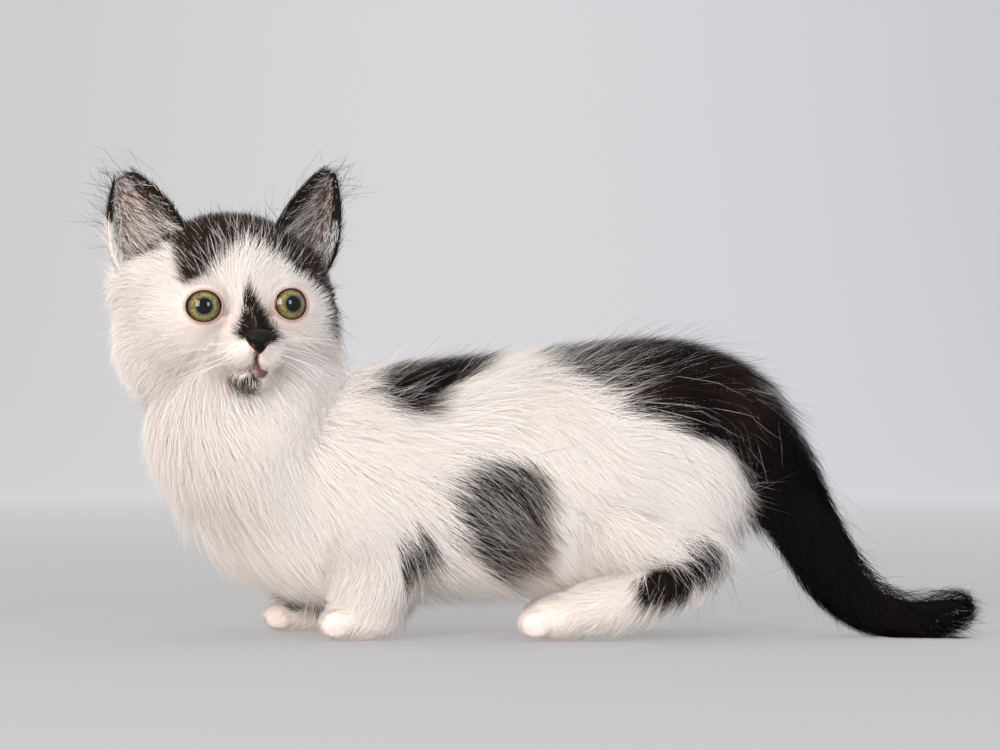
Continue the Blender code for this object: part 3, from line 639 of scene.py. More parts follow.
def coat_at(points, normals):
    """Lie along the skin, and the row of depth, length, width and density, mixed by shares."""
    found = fields(points)
    nearest = np.min([away for away, _, _ in found], axis=0)
    lie, row, total = np.zeros((len(points), 3)), np.zeros((len(points), 4)), np.zeros(len(points))
    for away, tangent, numbers in found:
        share = np.exp(-(away - nearest) / BLEND)
        lie += share[:, None] * tangent
        row += share[:, None] * np.array(numbers)
        total += share
    lie, row = lie / total[:, None], row / total[:, None]
    x, y, z = points.T
    h = to_head(points)
    # The tail's coat thins towards the tip, and no hair goes far past it.
    row[:, 0] *= 1 - 0.35 * ramp(x, 160, 175)
    row[:, 1] = np.where(x > 140, np.minimum(row[:, 1], np.maximum(190 - x, 4)), row[:, 1])
    # Fur is fuller behind the thighs and on the left cheek, and white fur fills the corner between
    # the outer base of the right ear and its cheek.
    breech = ramp(x, 68, 78) * ramp(x, 96, 90) * ramp(z, 34, 42) * ramp(z, 88, 80)
    cheek = ramp(h[:, 0], 0, 20) * ramp(h[:, 1], -16, -6) * (head_share(points) > 0.3)
    row[:, :2] *= (1 + 0.35 * breech + 0.3 * cheek)[:, None]
    row[:, 0] *= 1 + 0.5 * ramp(-h[:, 0], 27, 32) * ramp(h[:, 2], 6, 12) * ramp(h[:, 2], 30, 25)
    # In the fold between rump and tail there is room for short hair only.
    fold = np.exp(-(((x - 102) / 8) ** 2) - ((z - 57) / 13) ** 2)
    row[:, :2] *= 1 - np.c_[0.82 * fold, 0.35 * fold]
    outer_bend = np.exp(-(((x - 120) / 12) ** 2)) * np.clip(normals @ (0.8, 0, 0.6), 0, 1)
    row[:, 0] *= 1 - 0.65 * outer_bend
    # Between the thighs the hair stays short, or it would reach through them.
    groin = ramp(x, 56, 62) * ramp(x, 98, 92) * ramp(z, 58, 53) * ramp(np.abs(y), 22, 17)
    row[:, :2] *= 1 - np.c_[0.5 * groin, 0.7 * groin]
    # Under the root of the tail all hair falls back and down with it, and long hair hangs a little.
    rooted = ramp(x, 84, 90) * ramp(z, 40, 48) * (x < 112)
    lie = lie + rooted[:, None] * (np.array([0.35, 0, -0.95]) - lie)
    lie -= UP * (0.6 * (1 - np.abs(normals[:, 2])) * ramp(row[:, 1], 8, 20))[:, None]
    lie -= normals * (lie * normals).sum(1)[:, None]
    return unit(lie), row


# %% [markdown]
# The markings are drawn as a maker would chalk them on the side of the kitten: outlines of x and
# z in side view, and for the face an outline seen from the front. A point is dark by as many
# millimetres as it lies inside an outline. A slow wave shifts the point first, so the borders
# waver as they do in fur.

# %% Markings
NEAR_PATCHES = {
    "shoulder": [(-49, 107), (-42, 114), (-31, 122), (-17, 122), (-4, 116), (-9, 105), (-16, 99), (-23, 95),
                 (-31, 90), (-38, 87), (-43, 91), (-47, 99)],
    "flank": [(-5, 72), (7, 71), (16, 65), (19, 57), (17, 46), (13, 37), (9, 29), (2, 23), (-4, 25), (-8, 31),
              (-13, 36), (-17, 41), (-18, 50), (-19, 57), (-17, 64), (-12, 70)],
    "elbow": [(-36, 44), (-29, 45), (-24, 39), (-24, 32), (-28, 25), (-34, 22), (-37, 26), (-39, 32),
              (-39, 39)],
    "hock": [(50, 23), (57, 29), (68, 33), (79, 39), (87, 38), (82, 28), (73, 20), (63, 12), (54, 14)],
}
FAR_PATCHES = {
    "side": [(-30, 84), (-16, 90), (-2, 82), (6, 66), (0, 50), (-16, 46), (-30, 56), (-35, 72)],
    "shoulder": [(-60, 60), (-48, 64), (-40, 50), (-46, 36), (-58, 42)],
    "wrist": [(-93, 18), (-81, 17), (-69, 14), (-69, 8), (-81, 9.5), (-92, 12)],
}
RUMP_EDGE = [(-20, 150), (6, 125), (12, 112), (18, 107), (29, 103), (41, 99), (47, 93), (54, 87), (64, 81),
             (73, 79), (82, 80), (89, 78), (93, 66), (95, 55), (99, 30), (104, -40)]
NOSE_PATCH = [(1, 12), (-1.5, 6), (-3.5, 0), (-6.5, -8), (-6, -11), (-3, -13), (3, -13.5), (8, -12.5),
              (13, -10.5), (9.5, -5), (6, 1), (4, 6)]
CHIN_PATCH = [(-6.2, -25.4), (-3, -24.6), (0, -26), (2, -28), (2.2, -32), (0, -35), (-4, -35), (-6.6, -30.5)]
# Lower edge of the cap: degrees round the head, 0 at its front, and height in the head's frame.
CAP_EDGE = [(-180, -6), (-140, 4), (-110, 18), (-78, 29), (-62, 26), (-54, 18), (-48, 12), (-42, 11),
            (-37, 14), (-31, 18), (-23, 22), (-16, 25), (-6, 28), (2, 31), (8, 31), (17, 29), (29, 26),
            (40, 21), (50, 16), (58, 9), (66, -2), (74, -13), (88, -17), (100, -9), (120, -6), (180, -6)]



def waves(points, size, seed, count=9):
    """Sum of sines along random directions, about -1 to 1, with lumps of the given size."""
    draw = np.random.default_rng(seed)
    ways = unit(draw.normal(size=(count, 3))) * draw.uniform(0.6, 1.4, (count, 1)) * (2 * np.pi / size / 2)
    return np.sin(points @ ways.T + draw.uniform(0, 2 * np.pi, count)).sum(1) / math.sqrt(count)


def inside(points, outline):
    """Millimetres from an outline, more than 0 inside: nearest edge, signed by crossings."""
    a = np.asarray(outline, float)
    b = np.roll(a, -1, axis=0)
    p, edge = points[:, None], (b - a)[None]
    t = np.clip(((p - a) * edge).sum(2) / (edge**2).sum(2), 0, 1)
    away = np.linalg.norm(p - a - t[:, :, None] * edge, axis=2).min(1)
    crosses = (a[:, 1] > p[..., 1]) != (b[:, 1] > p[..., 1])
    reach = a[:, 0] + (p[..., 1] - a[:, 1]) * edge[..., 0] / np.where(edge[..., 1] == 0, 1, edge[..., 1])
    odd = (crosses & (p[..., 0] < reach)).sum(1) % 2 == 1
    return np.where(odd, away, -away)


def head_share(points):
    """1 on the head, 0 on the body, across a plane behind and under the skull."""
    h = to_head(points)
    above = h[:, 2] + 27 + 7 * (h[:, 1] < -18)
    return np.clip(np.minimum(35 - np.linalg.norm(h * (0.78, 0.7, 0.85), axis=1), above) / 4 + 0.5, 0, 1)


def darkness(points):
    """Millimetres inside the nearest dark patch."""
    moved = points + 1.8 * np.c_[waves(points, 9, 1), waves(points, 9, 2), waves(points, 9, 3)]
    flat = moved[:, [0, 2]]
    near, far = points[:, 1] < 4, points[:, 1] >= 4
    dark = flat[:, 1] - np.interp(flat[:, 0], *np.transpose(RUMP_EDGE))
    dark = np.minimum(dark, 12)
    for which, patches in ((near, NEAR_PATCHES), (far, FAR_PATCHES)):
        for outline in patches.values():
            dark[which] = np.maximum(dark[which], inside(flat[which], outline))
    spine = (np.array([[-27, 112]]) - flat) * (0.9, 1)
    dark = np.maximum(dark, np.where(far, 14 - np.linalg.norm(spine, axis=1), -99))
    h = to_head(points + 0.4 * (moved - points))
    front = h[:, [0, 2]]
    round_head = np.degrees(np.arctan2(h[:, 0], -h[:, 1]))
    cap = h[:, 2] - np.interp(round_head, *np.transpose(CAP_EDGE))
    face = np.where(h[:, 1] < -18, np.maximum(inside(front, NOSE_PATCH), inside(front, CHIN_PATCH)), -99)
    on_head = head_share(points) > 0.5
    return np.where(on_head, np.maximum(cap, face), dark)


# %% [markdown]
# Hair has no single colour. White locks are a little pink near the skin and cream at the tips.
# The dark patches hold black and brown hairs, and among them long silver ones.

# %% Colours


def paint(r, g, b):
    """A colour as it is seen, 0 to 255, made linear for the shader."""
    seen = np.array([r, g, b]) / 255
    return ((seen + 0.055) / 1.055) ** 2.4


WHITE = paint(250, 244, 239)
WARM_WHITE = paint(247, 232, 221)
BLACK = paint(9, 8, 8)
BROWN = paint(56, 41, 33)
TAN = paint(120, 86, 66)
SILVER = paint(206, 201, 197)
SKIN_PINK = paint(222, 180, 168)
LID_PINK = paint(176, 140, 132)
TEAR_CORNER = np.array([-7.2, -5.0, -2.2])
LIP = paint(100, 68, 63)
CLEFT = paint(72, 34, 24)
EAR_PINK = paint(178, 142, 126)
EAR_BROWN = paint(66, 48, 40)


def mixed(a, b, share):
    return a + (b - a) * np.asarray(share)[:, None]


def skin_colours(points, kinds):
    dark = ramp(darkness(points), -0.75, 0.75)
    under_white = SKIN_PINK + 0.75 * (WARM_WHITE - SKIN_PINK)
    under_black = BLACK + 0.2 * (BROWN - BLACK)
    colour = mixed(under_white, under_black, dark)
    h = to_head(points)
    lips = np.min(np.linalg.norm(points[:, None] - mouth_line[None, ::2], axis=2), axis=1)
    colour = mixed(colour, LIP, ramp(lips, 1.8, 0.8))
    lower_lip = 1 - np.hypot((h[:, 0] - 1.4) / 5.0, (h[:, 2] + 24.2) / 3.0)
    colour = mixed(colour, LIP, ramp(lower_lip, 0, 1 / 3) * (h[:, 1] < -30))
    colour = mixed(colour, CLEFT, ramp(np.abs(h[:, 0]), 1.3, 0.3) * (h[:, 2] > -20.8) * (h[:, 1] < -36))
    colour = mixed(colour, LID_PINK, ramp(lid_edge(points), 1.5, 0.6))
    for side in SIDES.values():
        corner = from_head((EYE_PLACE + TEAR_CORNER) * (side, 1, 1))
        colour = mixed(colour, LID_PINK, ramp(np.linalg.norm(points - corner, axis=1), 2.6, 1.6))
    u, v = on_ear(points)
    warm = np.where(h[:, 0] > 0, 0.25, 0.7) * ramp(v, 1.1, 0.1) * ramp(np.abs(u), 1.3, 0.3)
    rim = ramp(np.abs(u), 0.75, 0.9)
    pale = (u > 0) * (v < 0.45) * (h[:, 0] < 0)
    cup = mixed(mixed(EAR_BROWN, EAR_PINK, warm), BLACK, rim * (1 - rim * pale))
    cup = mixed(cup, WARM_WHITE, rim * pale)
    colour = np.where((kinds == IS_EAR_CUP)[:, None], cup, colour)
    return np.where((kinds == IS_EAR_BACK)[:, None], BLACK, colour)


def give_colours(obj, colours):
    layer = obj.data.color_attributes.new("coat_colour", "FLOAT_COLOR", "POINT")
    layer.data.foreach_set("color", np.c_[colours, np.ones(len(colours))].astype(np.float32).ravel())


# %% [markdown]
# The skin is unwrapped once by itself, into patches that are laid out flat. Each lock of hair
# takes a tiny square of this map at the place of its root, so a colour that is baked later lands
# on the right lock.

# %% Unwrap the skin
kinds = np.empty(len(skin.data.polygons), np.int32)
skin.data.polygons.foreach_get("material_index", kinds)
skin.data.materials.clear()
bpy.context.view_layer.objects.active = skin
skin.select_set(True)
skin.data.uv_layers.new(name="OFBake")
bpy.ops.object.mode_set(mode="EDIT")
bpy.ops.mesh.select_all(action="SELECT")
bpy.ops.uv.smart_project(angle_limit=math.radians(70), island_margin=0.002)
bpy.ops.object.mode_set(mode="OBJECT")
corners = np.empty(len(skin.data.loops), np.int32)
skin.data.loops.foreach_get("vertex_index", corners)
corners = corners.reshape(-1, 3)
skin_points = corners_of(skin) / MM - SHIFT
skin_map = np.empty(len(skin.data.loops) * 2, np.float32)
skin.data.uv_layers["OFBake"].data.foreach_get("uv", skin_map)
skin_map = skin_map.reshape(-1, 3, 2).astype(float)
a, b, c = (skin_points[corners[:, k]] for k in range(3))
face_normals = np.cross(b - a, c - a)
areas = np.linalg.norm(face_normals, axis=1) / 2
middles = (a + b + c) / 3
print("skin area in cm2:", round(areas.sum() / 100))

# %% [markdown]
# Finishes come from one small class that lets shader maths be written as expressions. The coat
# reads the colour that each hair carries, and its roughness is high, as hair scatters light.

# %% Shader maths


class Field:
    """A socket that can be added, multiplied and compared like a number."""

    def __init__(self, tree, socket):
        self.tree = tree
        self.socket = socket

    def node(self, kind, settings=None, inputs=None, output=0):
        made = self.tree.nodes.new(kind)
        for key, value in (settings or {}).items():
            if key == "stops":
                while len(made.color_ramp.elements) < len(value):
                    made.color_ramp.elements.new(0.5)
                for stop, (place, colour) in zip(made.color_ramp.elements, value):
                    stop.position = place
                    stop.color = (*colour, 1)
            else:
                setattr(made, key, value)
        for key, value in (inputs or {}).items():
            if isinstance(value, Field):
                self.tree.links.new(value.socket, made.inputs[key])
            else:
                made.inputs[key].default_value = value
        return Field(self.tree, made.outputs[output])

    def maths(self, operation, a, b=0.0):
        return self.node("ShaderNodeMath", {"operation": operation}, {0: a, 1: b})

    def __add__(self, other):
        return self.maths("ADD", self, other)

    def __sub__(self, other):
        return self.maths("SUBTRACT", self, other)

    def __rsub__(self, other):
        return self.maths("SUBTRACT", other, self)

    def __mul__(self, other):
        return self.maths("MULTIPLY", self, other)

    def __truediv__(self, other):
        return self.maths("DIVIDE", self, other)

    def __pow__(self, other):
        return self.maths("POWER", self, other)

    def clamped(self):
        return self.node("ShaderNodeClamp", {}, {0: self})

    def mix(self, a, b):
        """The colours a and b mixed by this share."""
        settings = {"data_type": "RGBA", "clamp_factor": True}
        sides = {6: a if isinstance(a, Field) else (*a, 1), 7: b if isinstance(b, Field) else (*b, 1)}
        return self.node("ShaderNodeMix", settings, {0: self, **sides}, 2)

    __radd__ = __add__
    __rmul__ = __mul__


def finish_of(name, **numbers):
    """A new material with these numbers on its shader, and a Field to start expressions from."""
    material = bpy.data.materials.new(name)
    material.use_nodes = True
    shader = material.node_tree.nodes["Principled BSDF"]
    for key, value in numbers.items():
        shader.inputs[key.replace("_", " ")].default_value = value
    return material, shader, Field(material.node_tree, None)


def feed(shader, key, field):
    shader.id_data.links.new(field.socket, shader.inputs[key])


coat_finish, shader, start = finish_of("coat", Roughness=0.6, Specular_IOR_Level=0.05,
                                       Emission_Strength=0.145)
hair_colour = start.node("ShaderNodeAttribute", {"attribute_name": "coat_colour"})
feed(shader, "Base Color", hair_colour)
# Deep in white fur light goes on from hair to hair, which a faint glow of its own colour stands for.
feed(shader, "Emission Color", hair_colour)
# Light also goes through white hair, and not through black.
through = start.node("ShaderNodeBsdfTranslucent", {}, {"Color": (0.93, 0.9, 0.87, 1)})
pale = start.node("ShaderNodeSeparateColor", {}, {0: hair_colour}, 1)
whole = Field(start.tree, shader.outputs[0])
both = start.node("ShaderNodeMixShader", {}, {0: pale * 0.22, 1: whole, 2: through})
start.tree.links.new(both.socket, start.tree.nodes["Material Output"].inputs[0])

# The skin glows faintly in its own colour: painted light that lifts the shade where it shows between the
# hairs.
skin_finish, shader, start = finish_of("skin", Roughness=0.7, Specular_IOR_Level=0.2, Emission_Strength=0.12)
skin_colour = start.node("ShaderNodeAttribute", {"attribute_name": "coat_colour"})
feed(shader, "Base Color", skin_colour)
feed(shader, "Emission Color", skin_colour)
spot = start.node("ShaderNodeTexCoord", {}, {}, "Object")
fuzz = start.node("ShaderNodeTexNoise", {}, {"Vector": spot, "Scale": 1400.0, "Detail": 3.0})
bump = start.node("ShaderNodeBump", {}, {"Height": fuzz, "Strength": 0.25, "Distance": 0.0006})
feed(shader, "Normal", bump)

vertex_kinds = np.zeros(len(skin_points), np.int32)
vertex_kinds[corners.ravel()] = np.repeat(kinds, 3)
give_colours(skin, skin_colours(skin_points, vertex_kinds))
FLESH = [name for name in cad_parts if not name.startswith(("eye", "nose"))]
finished(skin, skin_finish, "white_coat", *FLESH)
print("skin replaces", len(FLESH), "nodes")

# %% [markdown]
# Hair as thousands of thin closed spikes survives every export, where particle hair doesn't. A
# root is drawn on each part of the skin as often as the coat is dense there. The spine of the
# hair is then laid on the skin again at three places along its lie, and lifted off by the coat's
# depth, more and more towards the tip. A mesh of bare points with a Shrinkwrap modifier finds the
# skin below all of them at once.

# %% Roots and spines
SHARES = np.array([0.35, 0.7, 1.0])


def laid_on_skin(points):
    """For each point the nearest place on the skin and the direction away from it."""
    cloud = bpy.data.objects.new("cloud", bpy.data.meshes.new("cloud"))
    bpy.context.scene.collection.objects.link(cloud)
    cloud.data.vertices.add(len(points))
    cloud.data.vertices.foreach_set("co", ((points + SHIFT) * MM).astype(np.float32).ravel())
    wrap = cloud.modifiers.new("wrap", "SHRINKWRAP")
    wrap.target = skin
    places = []
    for mode, offset in (("ON_SURFACE", 0.0), ("ABOVE_SURFACE", MM)):
        wrap.wrap_mode = mode
        wrap.offset = offset
        graph = bpy.context.evaluated_depsgraph_get()
        shown = cloud.evaluated_get(graph).to_mesh()
        co = np.empty(len(points) * 3, np.float32)
        shown.vertices.foreach_get("co", co)
        places.append(co.reshape(-1, 3) / MM - SHIFT)
    bpy.data.objects.remove(cloud)
    return places[0], unit(places[1] - places[0])


def draw_roots(per_face):
    """Random places on the faces, each face as often as its number says."""
    count = np.floor(per_face + chance.random(len(per_face))).astype(int)
    face = np.repeat(np.arange(len(count)), count)
    p, q = chance.random((2, len(face)))
    over = p + q > 1
    p, q = np.where(over, 1 - p, p), np.where(over, 1 - q, q)
    weights = np.stack([1 - p - q, p, q], 1)[:, :, None]
    root = (skin_points[corners[face]] * weights).sum(1)
    return face, root, (skin_map[face] * weights).sum(1)


def gathered(tips, roots, size, strength):
    """Tips drawn towards the middle of all tips whose roots share a wavering cell."""
    moved = roots + 0.35 * size * np.c_[waves(roots, 11, 7), waves(roots, 11, 8), waves(roots, 11, 9)]
    _, group = np.unique(np.floor(moved / size).astype(int), axis=0, return_inverse=True)
    group = group.ravel()
    count = np.bincount(group)
    middle = np.stack([np.bincount(group, tips[:, k]) / count for k in range(3)], 1)
    return tips + strength * (middle[group] - tips)


print("roots and spines ready")

# %% Spikes
FLOOR = 0.25
MAP_PATCH = 0.003
FLATNESS = 0.45  # a hair is this much as thick as it is wide


def spikes(name, spine, normal, width, colours, uv, slot="white_coat"):
    """Closed three-sided spikes: a triangle at each point of the spine but the last, its tip.

    Corner k of a ring lies at half width(side cos a + flatness up sin a), a = 90 + 120k degrees.
    """
    count, points = spine.shape[:2]
    rings = points - 1
    tangent = unit(np.gradient(spine, axis=1))
    side = unit(np.cross(tangent, normal[:, None]))
    up = np.cross(side, tangent)
    taper = np.interp(np.linspace(0, 1, points)[:-1], [0, 0.35, 1], [0.75, 1.0, 0.35])
    a = np.radians([90, 210, 330])[:, None]
    reach = width[:, None, None, None] / 2 * taper[:, None, None]
    spread = side[:, :-1, None] * np.cos(a) + FLATNESS * up[:, :-1, None] * np.sin(a)
    ring = spine[:, :-1, None] + reach * spread
    co = np.concatenate([ring.reshape(count, -1, 3), spine[:, -1:]], axis=1)
    co[..., 2] = np.maximum(co[..., 2], FLOOR)
    faces = [(0, 1, 2)]
    for r in range(rings - 1):
        for k in range(3):
            i, j = 3 * r + k, 3 * r + (k + 1) % 3
            faces += [(i, j + 3, j), (i, i + 3, j + 3)]
    tip = 3 * rings
    faces += [(tip - 3 + (k + 1) % 3, tip - 3 + k, tip) for k in range(3)]
    faces = np.array(faces)
    size = tip + 1
    every = (faces[None] + (np.arange(count) * size)[:, None, None]).reshape(-1, 3)
    obj = piece(name, co.reshape(-1, 3), every)
    outward = np.concatenate([unit(spread).reshape(count, -1, 3), np.zeros((count, 1, 3))], axis=1)
    soft = unit(normal[:, None] + 0.35 * outward).reshape(-1, 3)
    obj.data.normals_split_custom_set_from_vertices(soft)
    shade = np.concatenate([np.repeat(colours[:, :-1], 3, axis=1), colours[:, -1:]], axis=1)
    give_colours(obj, shade.reshape(-1, 3))
    layer = obj.data.uv_layers.new(name="OFBake")
    across = np.append(np.tile([0, 1, 2], rings), 1) / 2 - 0.5
    ahead = (np.arange(size) // 3) / rings - 0.5
    place = uv[:, None] + MAP_PATCH * np.stack([across, ahead], 1)[None]
    layer.data.foreach_set("uv", place.reshape(-1, 2)[every.ravel()].astype(np.float32).ravel())
    return finished(obj, coat_finish, slot)


solids = np.vstack([corners_of(obj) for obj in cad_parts.values()]) / MM - SHIFT
LIMIT_LOW, LIMIT_HIGH = solids.min(0), solids.max(0)
GROWTH = (LIMIT_HIGH - LIMIT_LOW) * 0.03 + 9


def held_in(points):
    """Nothing reaches far outside the solids' box."""
    return np.clip(points, LIMIT_LOW - GROWTH, LIMIT_HIGH + GROWTH)


print("longest reach past the box in mm:", GROWTH.round(1))

# %% [markdown]
# The main coat. Where hair is long it is drawn into locks, and each lock keeps a bend of its own.
# A white hair that starts beside a dark patch lies over it, because its colour is that of its
# root, and this is what makes the border of a patch look feathered.

# %% Grow the coat
face_normals = unit(face_normals)
lie, row = coat_at(middles, face_normals)
bare = np.linalg.norm(middles[:, None] - mouth_line[None, ::3], axis=2).min(1) < 1.0
bare |= lid_edge(middles) < 0.35
h = to_head(middles)
lower_lip = np.hypot((h[:, 0] - 2.5) / 3.2, (h[:, 2] + 23.9) / 1.8) < 1
cleft = (np.abs(h[:, 0]) < 1.5) & (np.abs(h[:, 2] + 19.5) < 3)
bare |= (lower_lip | cleft) & (h[:, 1] < -30)
for side in SIDES.values():
    bare |= np.linalg.norm(middles - from_head(EYE_PLACE * (side, 1, 1)), axis=1) < EYE_RADIUS + 0.5
bare |= np.linalg.norm((h - NOSE_PLACE) / (7.2, 5, 5.2), axis=1) < 1
underneath = np.clip(-1.6 * face_normals[:, 2] - 0.5, 0, 1)
density = np.where(bare | (kinds != IS_SKIN) | (middles[:, 2] < 0.9), 0, row[:, 3] * (1 - 0.4 * underneath))


def grow(name, where, thin=1.0, points=3, slot="white_coat"):
    """Hair on these faces of the skin, as one piece."""
    face, root, uv = draw_roots(np.where(where, density * areas * thin, 0))
    normal, way, (depth, length, width, _) = face_normals[face], lie[face], row[face].T
    count = len(root)
    length = length * chance.uniform(0.65, 1.2, count)
    width = width / thin**0.7
    stiff = np.cross(normal, way)
    angle = 0.26 * waves(root, 30, 11) + 0.14 * waves(root, 9, 12) + chance.normal(0, 0.15, count)
    way = unit(way + stiff * angle[:, None])
    height = depth * (0.88 + 0.13 * chance.random(count) + 0.25 * chance.random(count) ** 5)
    shares = SHARES if points == 4 else np.array([0.5, 1.0])
    spine = [root - 0.3 * normal]
    last, out = root, normal
    step = np.diff(np.r_[0, shares])
    for k, share in enumerate(shares):
        ahead = last + way * (length * step[k])[:, None]
        base, found = laid_on_skin(ahead)
        # Past the end of the tail or of a toe there is no skin, and the hair goes straight on.
        free = ramp(np.linalg.norm(ahead - base, axis=1), 2.5, 5.5)[:, None]
        out = unit(found + free * (out - found))
        way = unit(way - out * (way * out).sum(1)[:, None])
        last = base + free * (ahead - base)
        lift = height * share**0.6 * (1 - 0.6 * free[:, 0])
        hang = 0.10 * (1 - np.abs(out[:, 2])) + 0.16 * np.clip(-out[:, 2], 0, 1)
        hang *= length * share**2 * (length > 9)
        spine.append(last + out * lift[:, None] - UP * hang[:, None])
    size = np.clip(np.median(length) / 5.5, 1.4, 4.6)
    spine[-1] = gathered(spine[-1], root, size, 0.1)
    if points == 4:
        spine[-2] = gathered(spine[-2], root, size, 0.04)
    spine = np.stack(spine, 1)
    clear = np.min([lid_edge(spine[:, k]) for k in range(1, spine.shape[1])], axis=0) > 0.15
    root, uv, normal, length, width, spine, stiff = (
        x[clear] for x in (root, uv, normal, length, width, spine, stiff))
    count = len(root)
    bend = chance.normal(0, 0.05, (count, 1, 1)) * length[:, None, None] * stiff[:, None]
    profile = np.sin(np.linspace(0, np.pi, spine.shape[1]))[None, :, None]
    spine = held_in(spine + bend * profile)
    spine[..., 2] = np.maximum(spine[..., 2], FLOOR + 0.1)
    dark = np.where(darkness(spine[:, -2]) + chance.normal(0, 0.8, count) > 0, 1, 0)
    # Few of the forehead's white hairs lie over the cap.
    of_head = head_share(root) > 0.5
    dark[of_head & (darkness(spine[:, -1]) > 1.5) & (chance.random(count) < 0.72)] = 1
    pale = mixed(WHITE, WARM_WHITE, chance.random(count)) * chance.uniform(0.95, 1.03, (count, 1))
    # Short hair is painted darker, as painted shade: there is less real shade between short hairs than in
    # long fur.
    pale = pale * np.interp(length, [3, 15], [0.84, 1.0])[:, None]
    deep = mixed(BLACK, BROWN, np.clip(chance.normal(0.15, 0.25, count) + 0.25 * waves(root, 14, 21), 0, 1))
    on_tail = ramp(root[:, 0], 85, 105)
    level = to_head(root)[:, 2]
    deep = mixed(mixed(deep, BLACK, 0.75 * on_tail), BROWN, 0.55 * of_head * (level > 8))
    brown = np.clip(1.2 - np.linalg.norm((spine[:, -2] - (14, -36, 34)) / (14, 30, 17), axis=1), 0, 1)
    deep = mixed(deep, TAN, brown * chance.uniform(0.3, 1.0, count))
    # Silver hairs: most on the flank and on the front of the saddle, none on the tail.
    grey = 0.02 * (1 - on_tail) + 0.22 * (np.abs(root[:, 2] - 58) < 18) * (on_tail == 0)
    grey += 0.2 * np.exp(-(((root[:, 0] - 20) / 18) ** 2)) * (root[:, 2] > 85)
    grey = np.where(of_head, 0.03 + 0.3 * (level < -20), grey)
    silver = chance.random(count) < grey
    deep = np.where(silver[:, None], mixed(deep, SILVER, chance.uniform(0.5, 1.0, count)), deep)
    colour = mixed(pale, deep, dark)
    at_root = (colour + mixed(SKIN_PINK + 0.8 * (WHITE - SKIN_PINK), BLACK, dark)) / 2
    colours = np.stack([at_root] + [colour] * (spine.shape[1] - 1), 1)
    obj = spikes(name, spine, normal, width * chance.uniform(0.8, 1.2, count), colours, uv, slot)
    print(name, count, "hairs,", len(obj.data.polygons), "triangles")


x, y, z = middles.T
on_head = head_share(middles) > 0.5
tail_side = x > 96
low = (z < 34) & ~tail_side & (row[:, 1] < 19)
body = ~on_head & ~low & ~tail_side
grow("coat_face", on_head & (h[:, 1] < -6))
grow("coat_head_back", on_head & (h[:, 1] >= -6), thin=0.6)
for region, start, end, thin in (("breast", -200, -58, 0.6), ("side", -58, 30, 0.5), ("rump", 30, 96, 0.5)):
    part = body & (x > start) & (x <= end)
    grow("coat_" + region + "_left", part & (y < 0))
    grow("coat_" + region + "_right", part & (y >= 0), thin=thin)
grow("coat_tail", tail_side & ~low, points=4, slot="black_coat")
grow("coat_legs_left", low & (y < 0))
grow("coat_legs_right", low & (y >= 0), thin=0.65)

# %% [markdown]
# Ears carry two kinds of hair. Their backs have a short flat coat that runs to the tip. Inside
# the cup, long silky hairs start along the inner edge and fan outwards and up across it.

# %% Hair of the ears
EAR_TUFT = 18


def straight(root, way, length, normal, middle_lift, tip_lift):
    """Spines of three points: just inside the skin, halfway, and at the tip."""
    points = [root - 0.2 * normal, root + way * length * 0.5 + normal * middle_lift]
    return held_in(np.stack(points + [root + way * length + normal * tip_lift], 1))


def ear_hair(name, side):
    """Short flat hair on the back of an ear, pale only on the right ear's lower outer edge."""
    backs = (kinds == IS_EAR_BACK) & (side * to_head(middles)[:, 0] > 0)
    face, root, uv = draw_roots(np.where(backs, areas * 2.3, 0))
    up = EAR_UP * (side, 1, 1) @ HEAD_AXES.T
    normal = face_normals[face]
    way = unit(up + 0.25 * chance.normal(size=(len(root), 3)))
    way = unit(way - normal * (way * normal).sum(1)[:, None])
    h = to_head(root)
    length = chance.uniform(3, 6, len(root)) * np.interp(h[:, 2], [24, 34, 44, 60], [1.5, 1.0, 0.9, 0.7])
    spine = straight(root, way, length[:, None], normal, 0.5, 0.6)
    light = (side < 0) & (h[:, 2] < 38) & (h[:, 0] < -34)
    deep = mixed(BLACK, BROWN, np.clip(chance.normal(0.15, 0.2, len(root)), 0, 1))
    deep = np.where((chance.random(len(root)) < 0.12)[:, None], SILVER, deep)
    colour = np.where(light[:, None], WARM_WHITE, deep)
    width = chance.uniform(0.14, 0.22, len(root))
    spikes(name, spine, normal, width, np.stack([colour] * 3, 1), uv, "black_coat")
    print(name, len(root), "hairs")


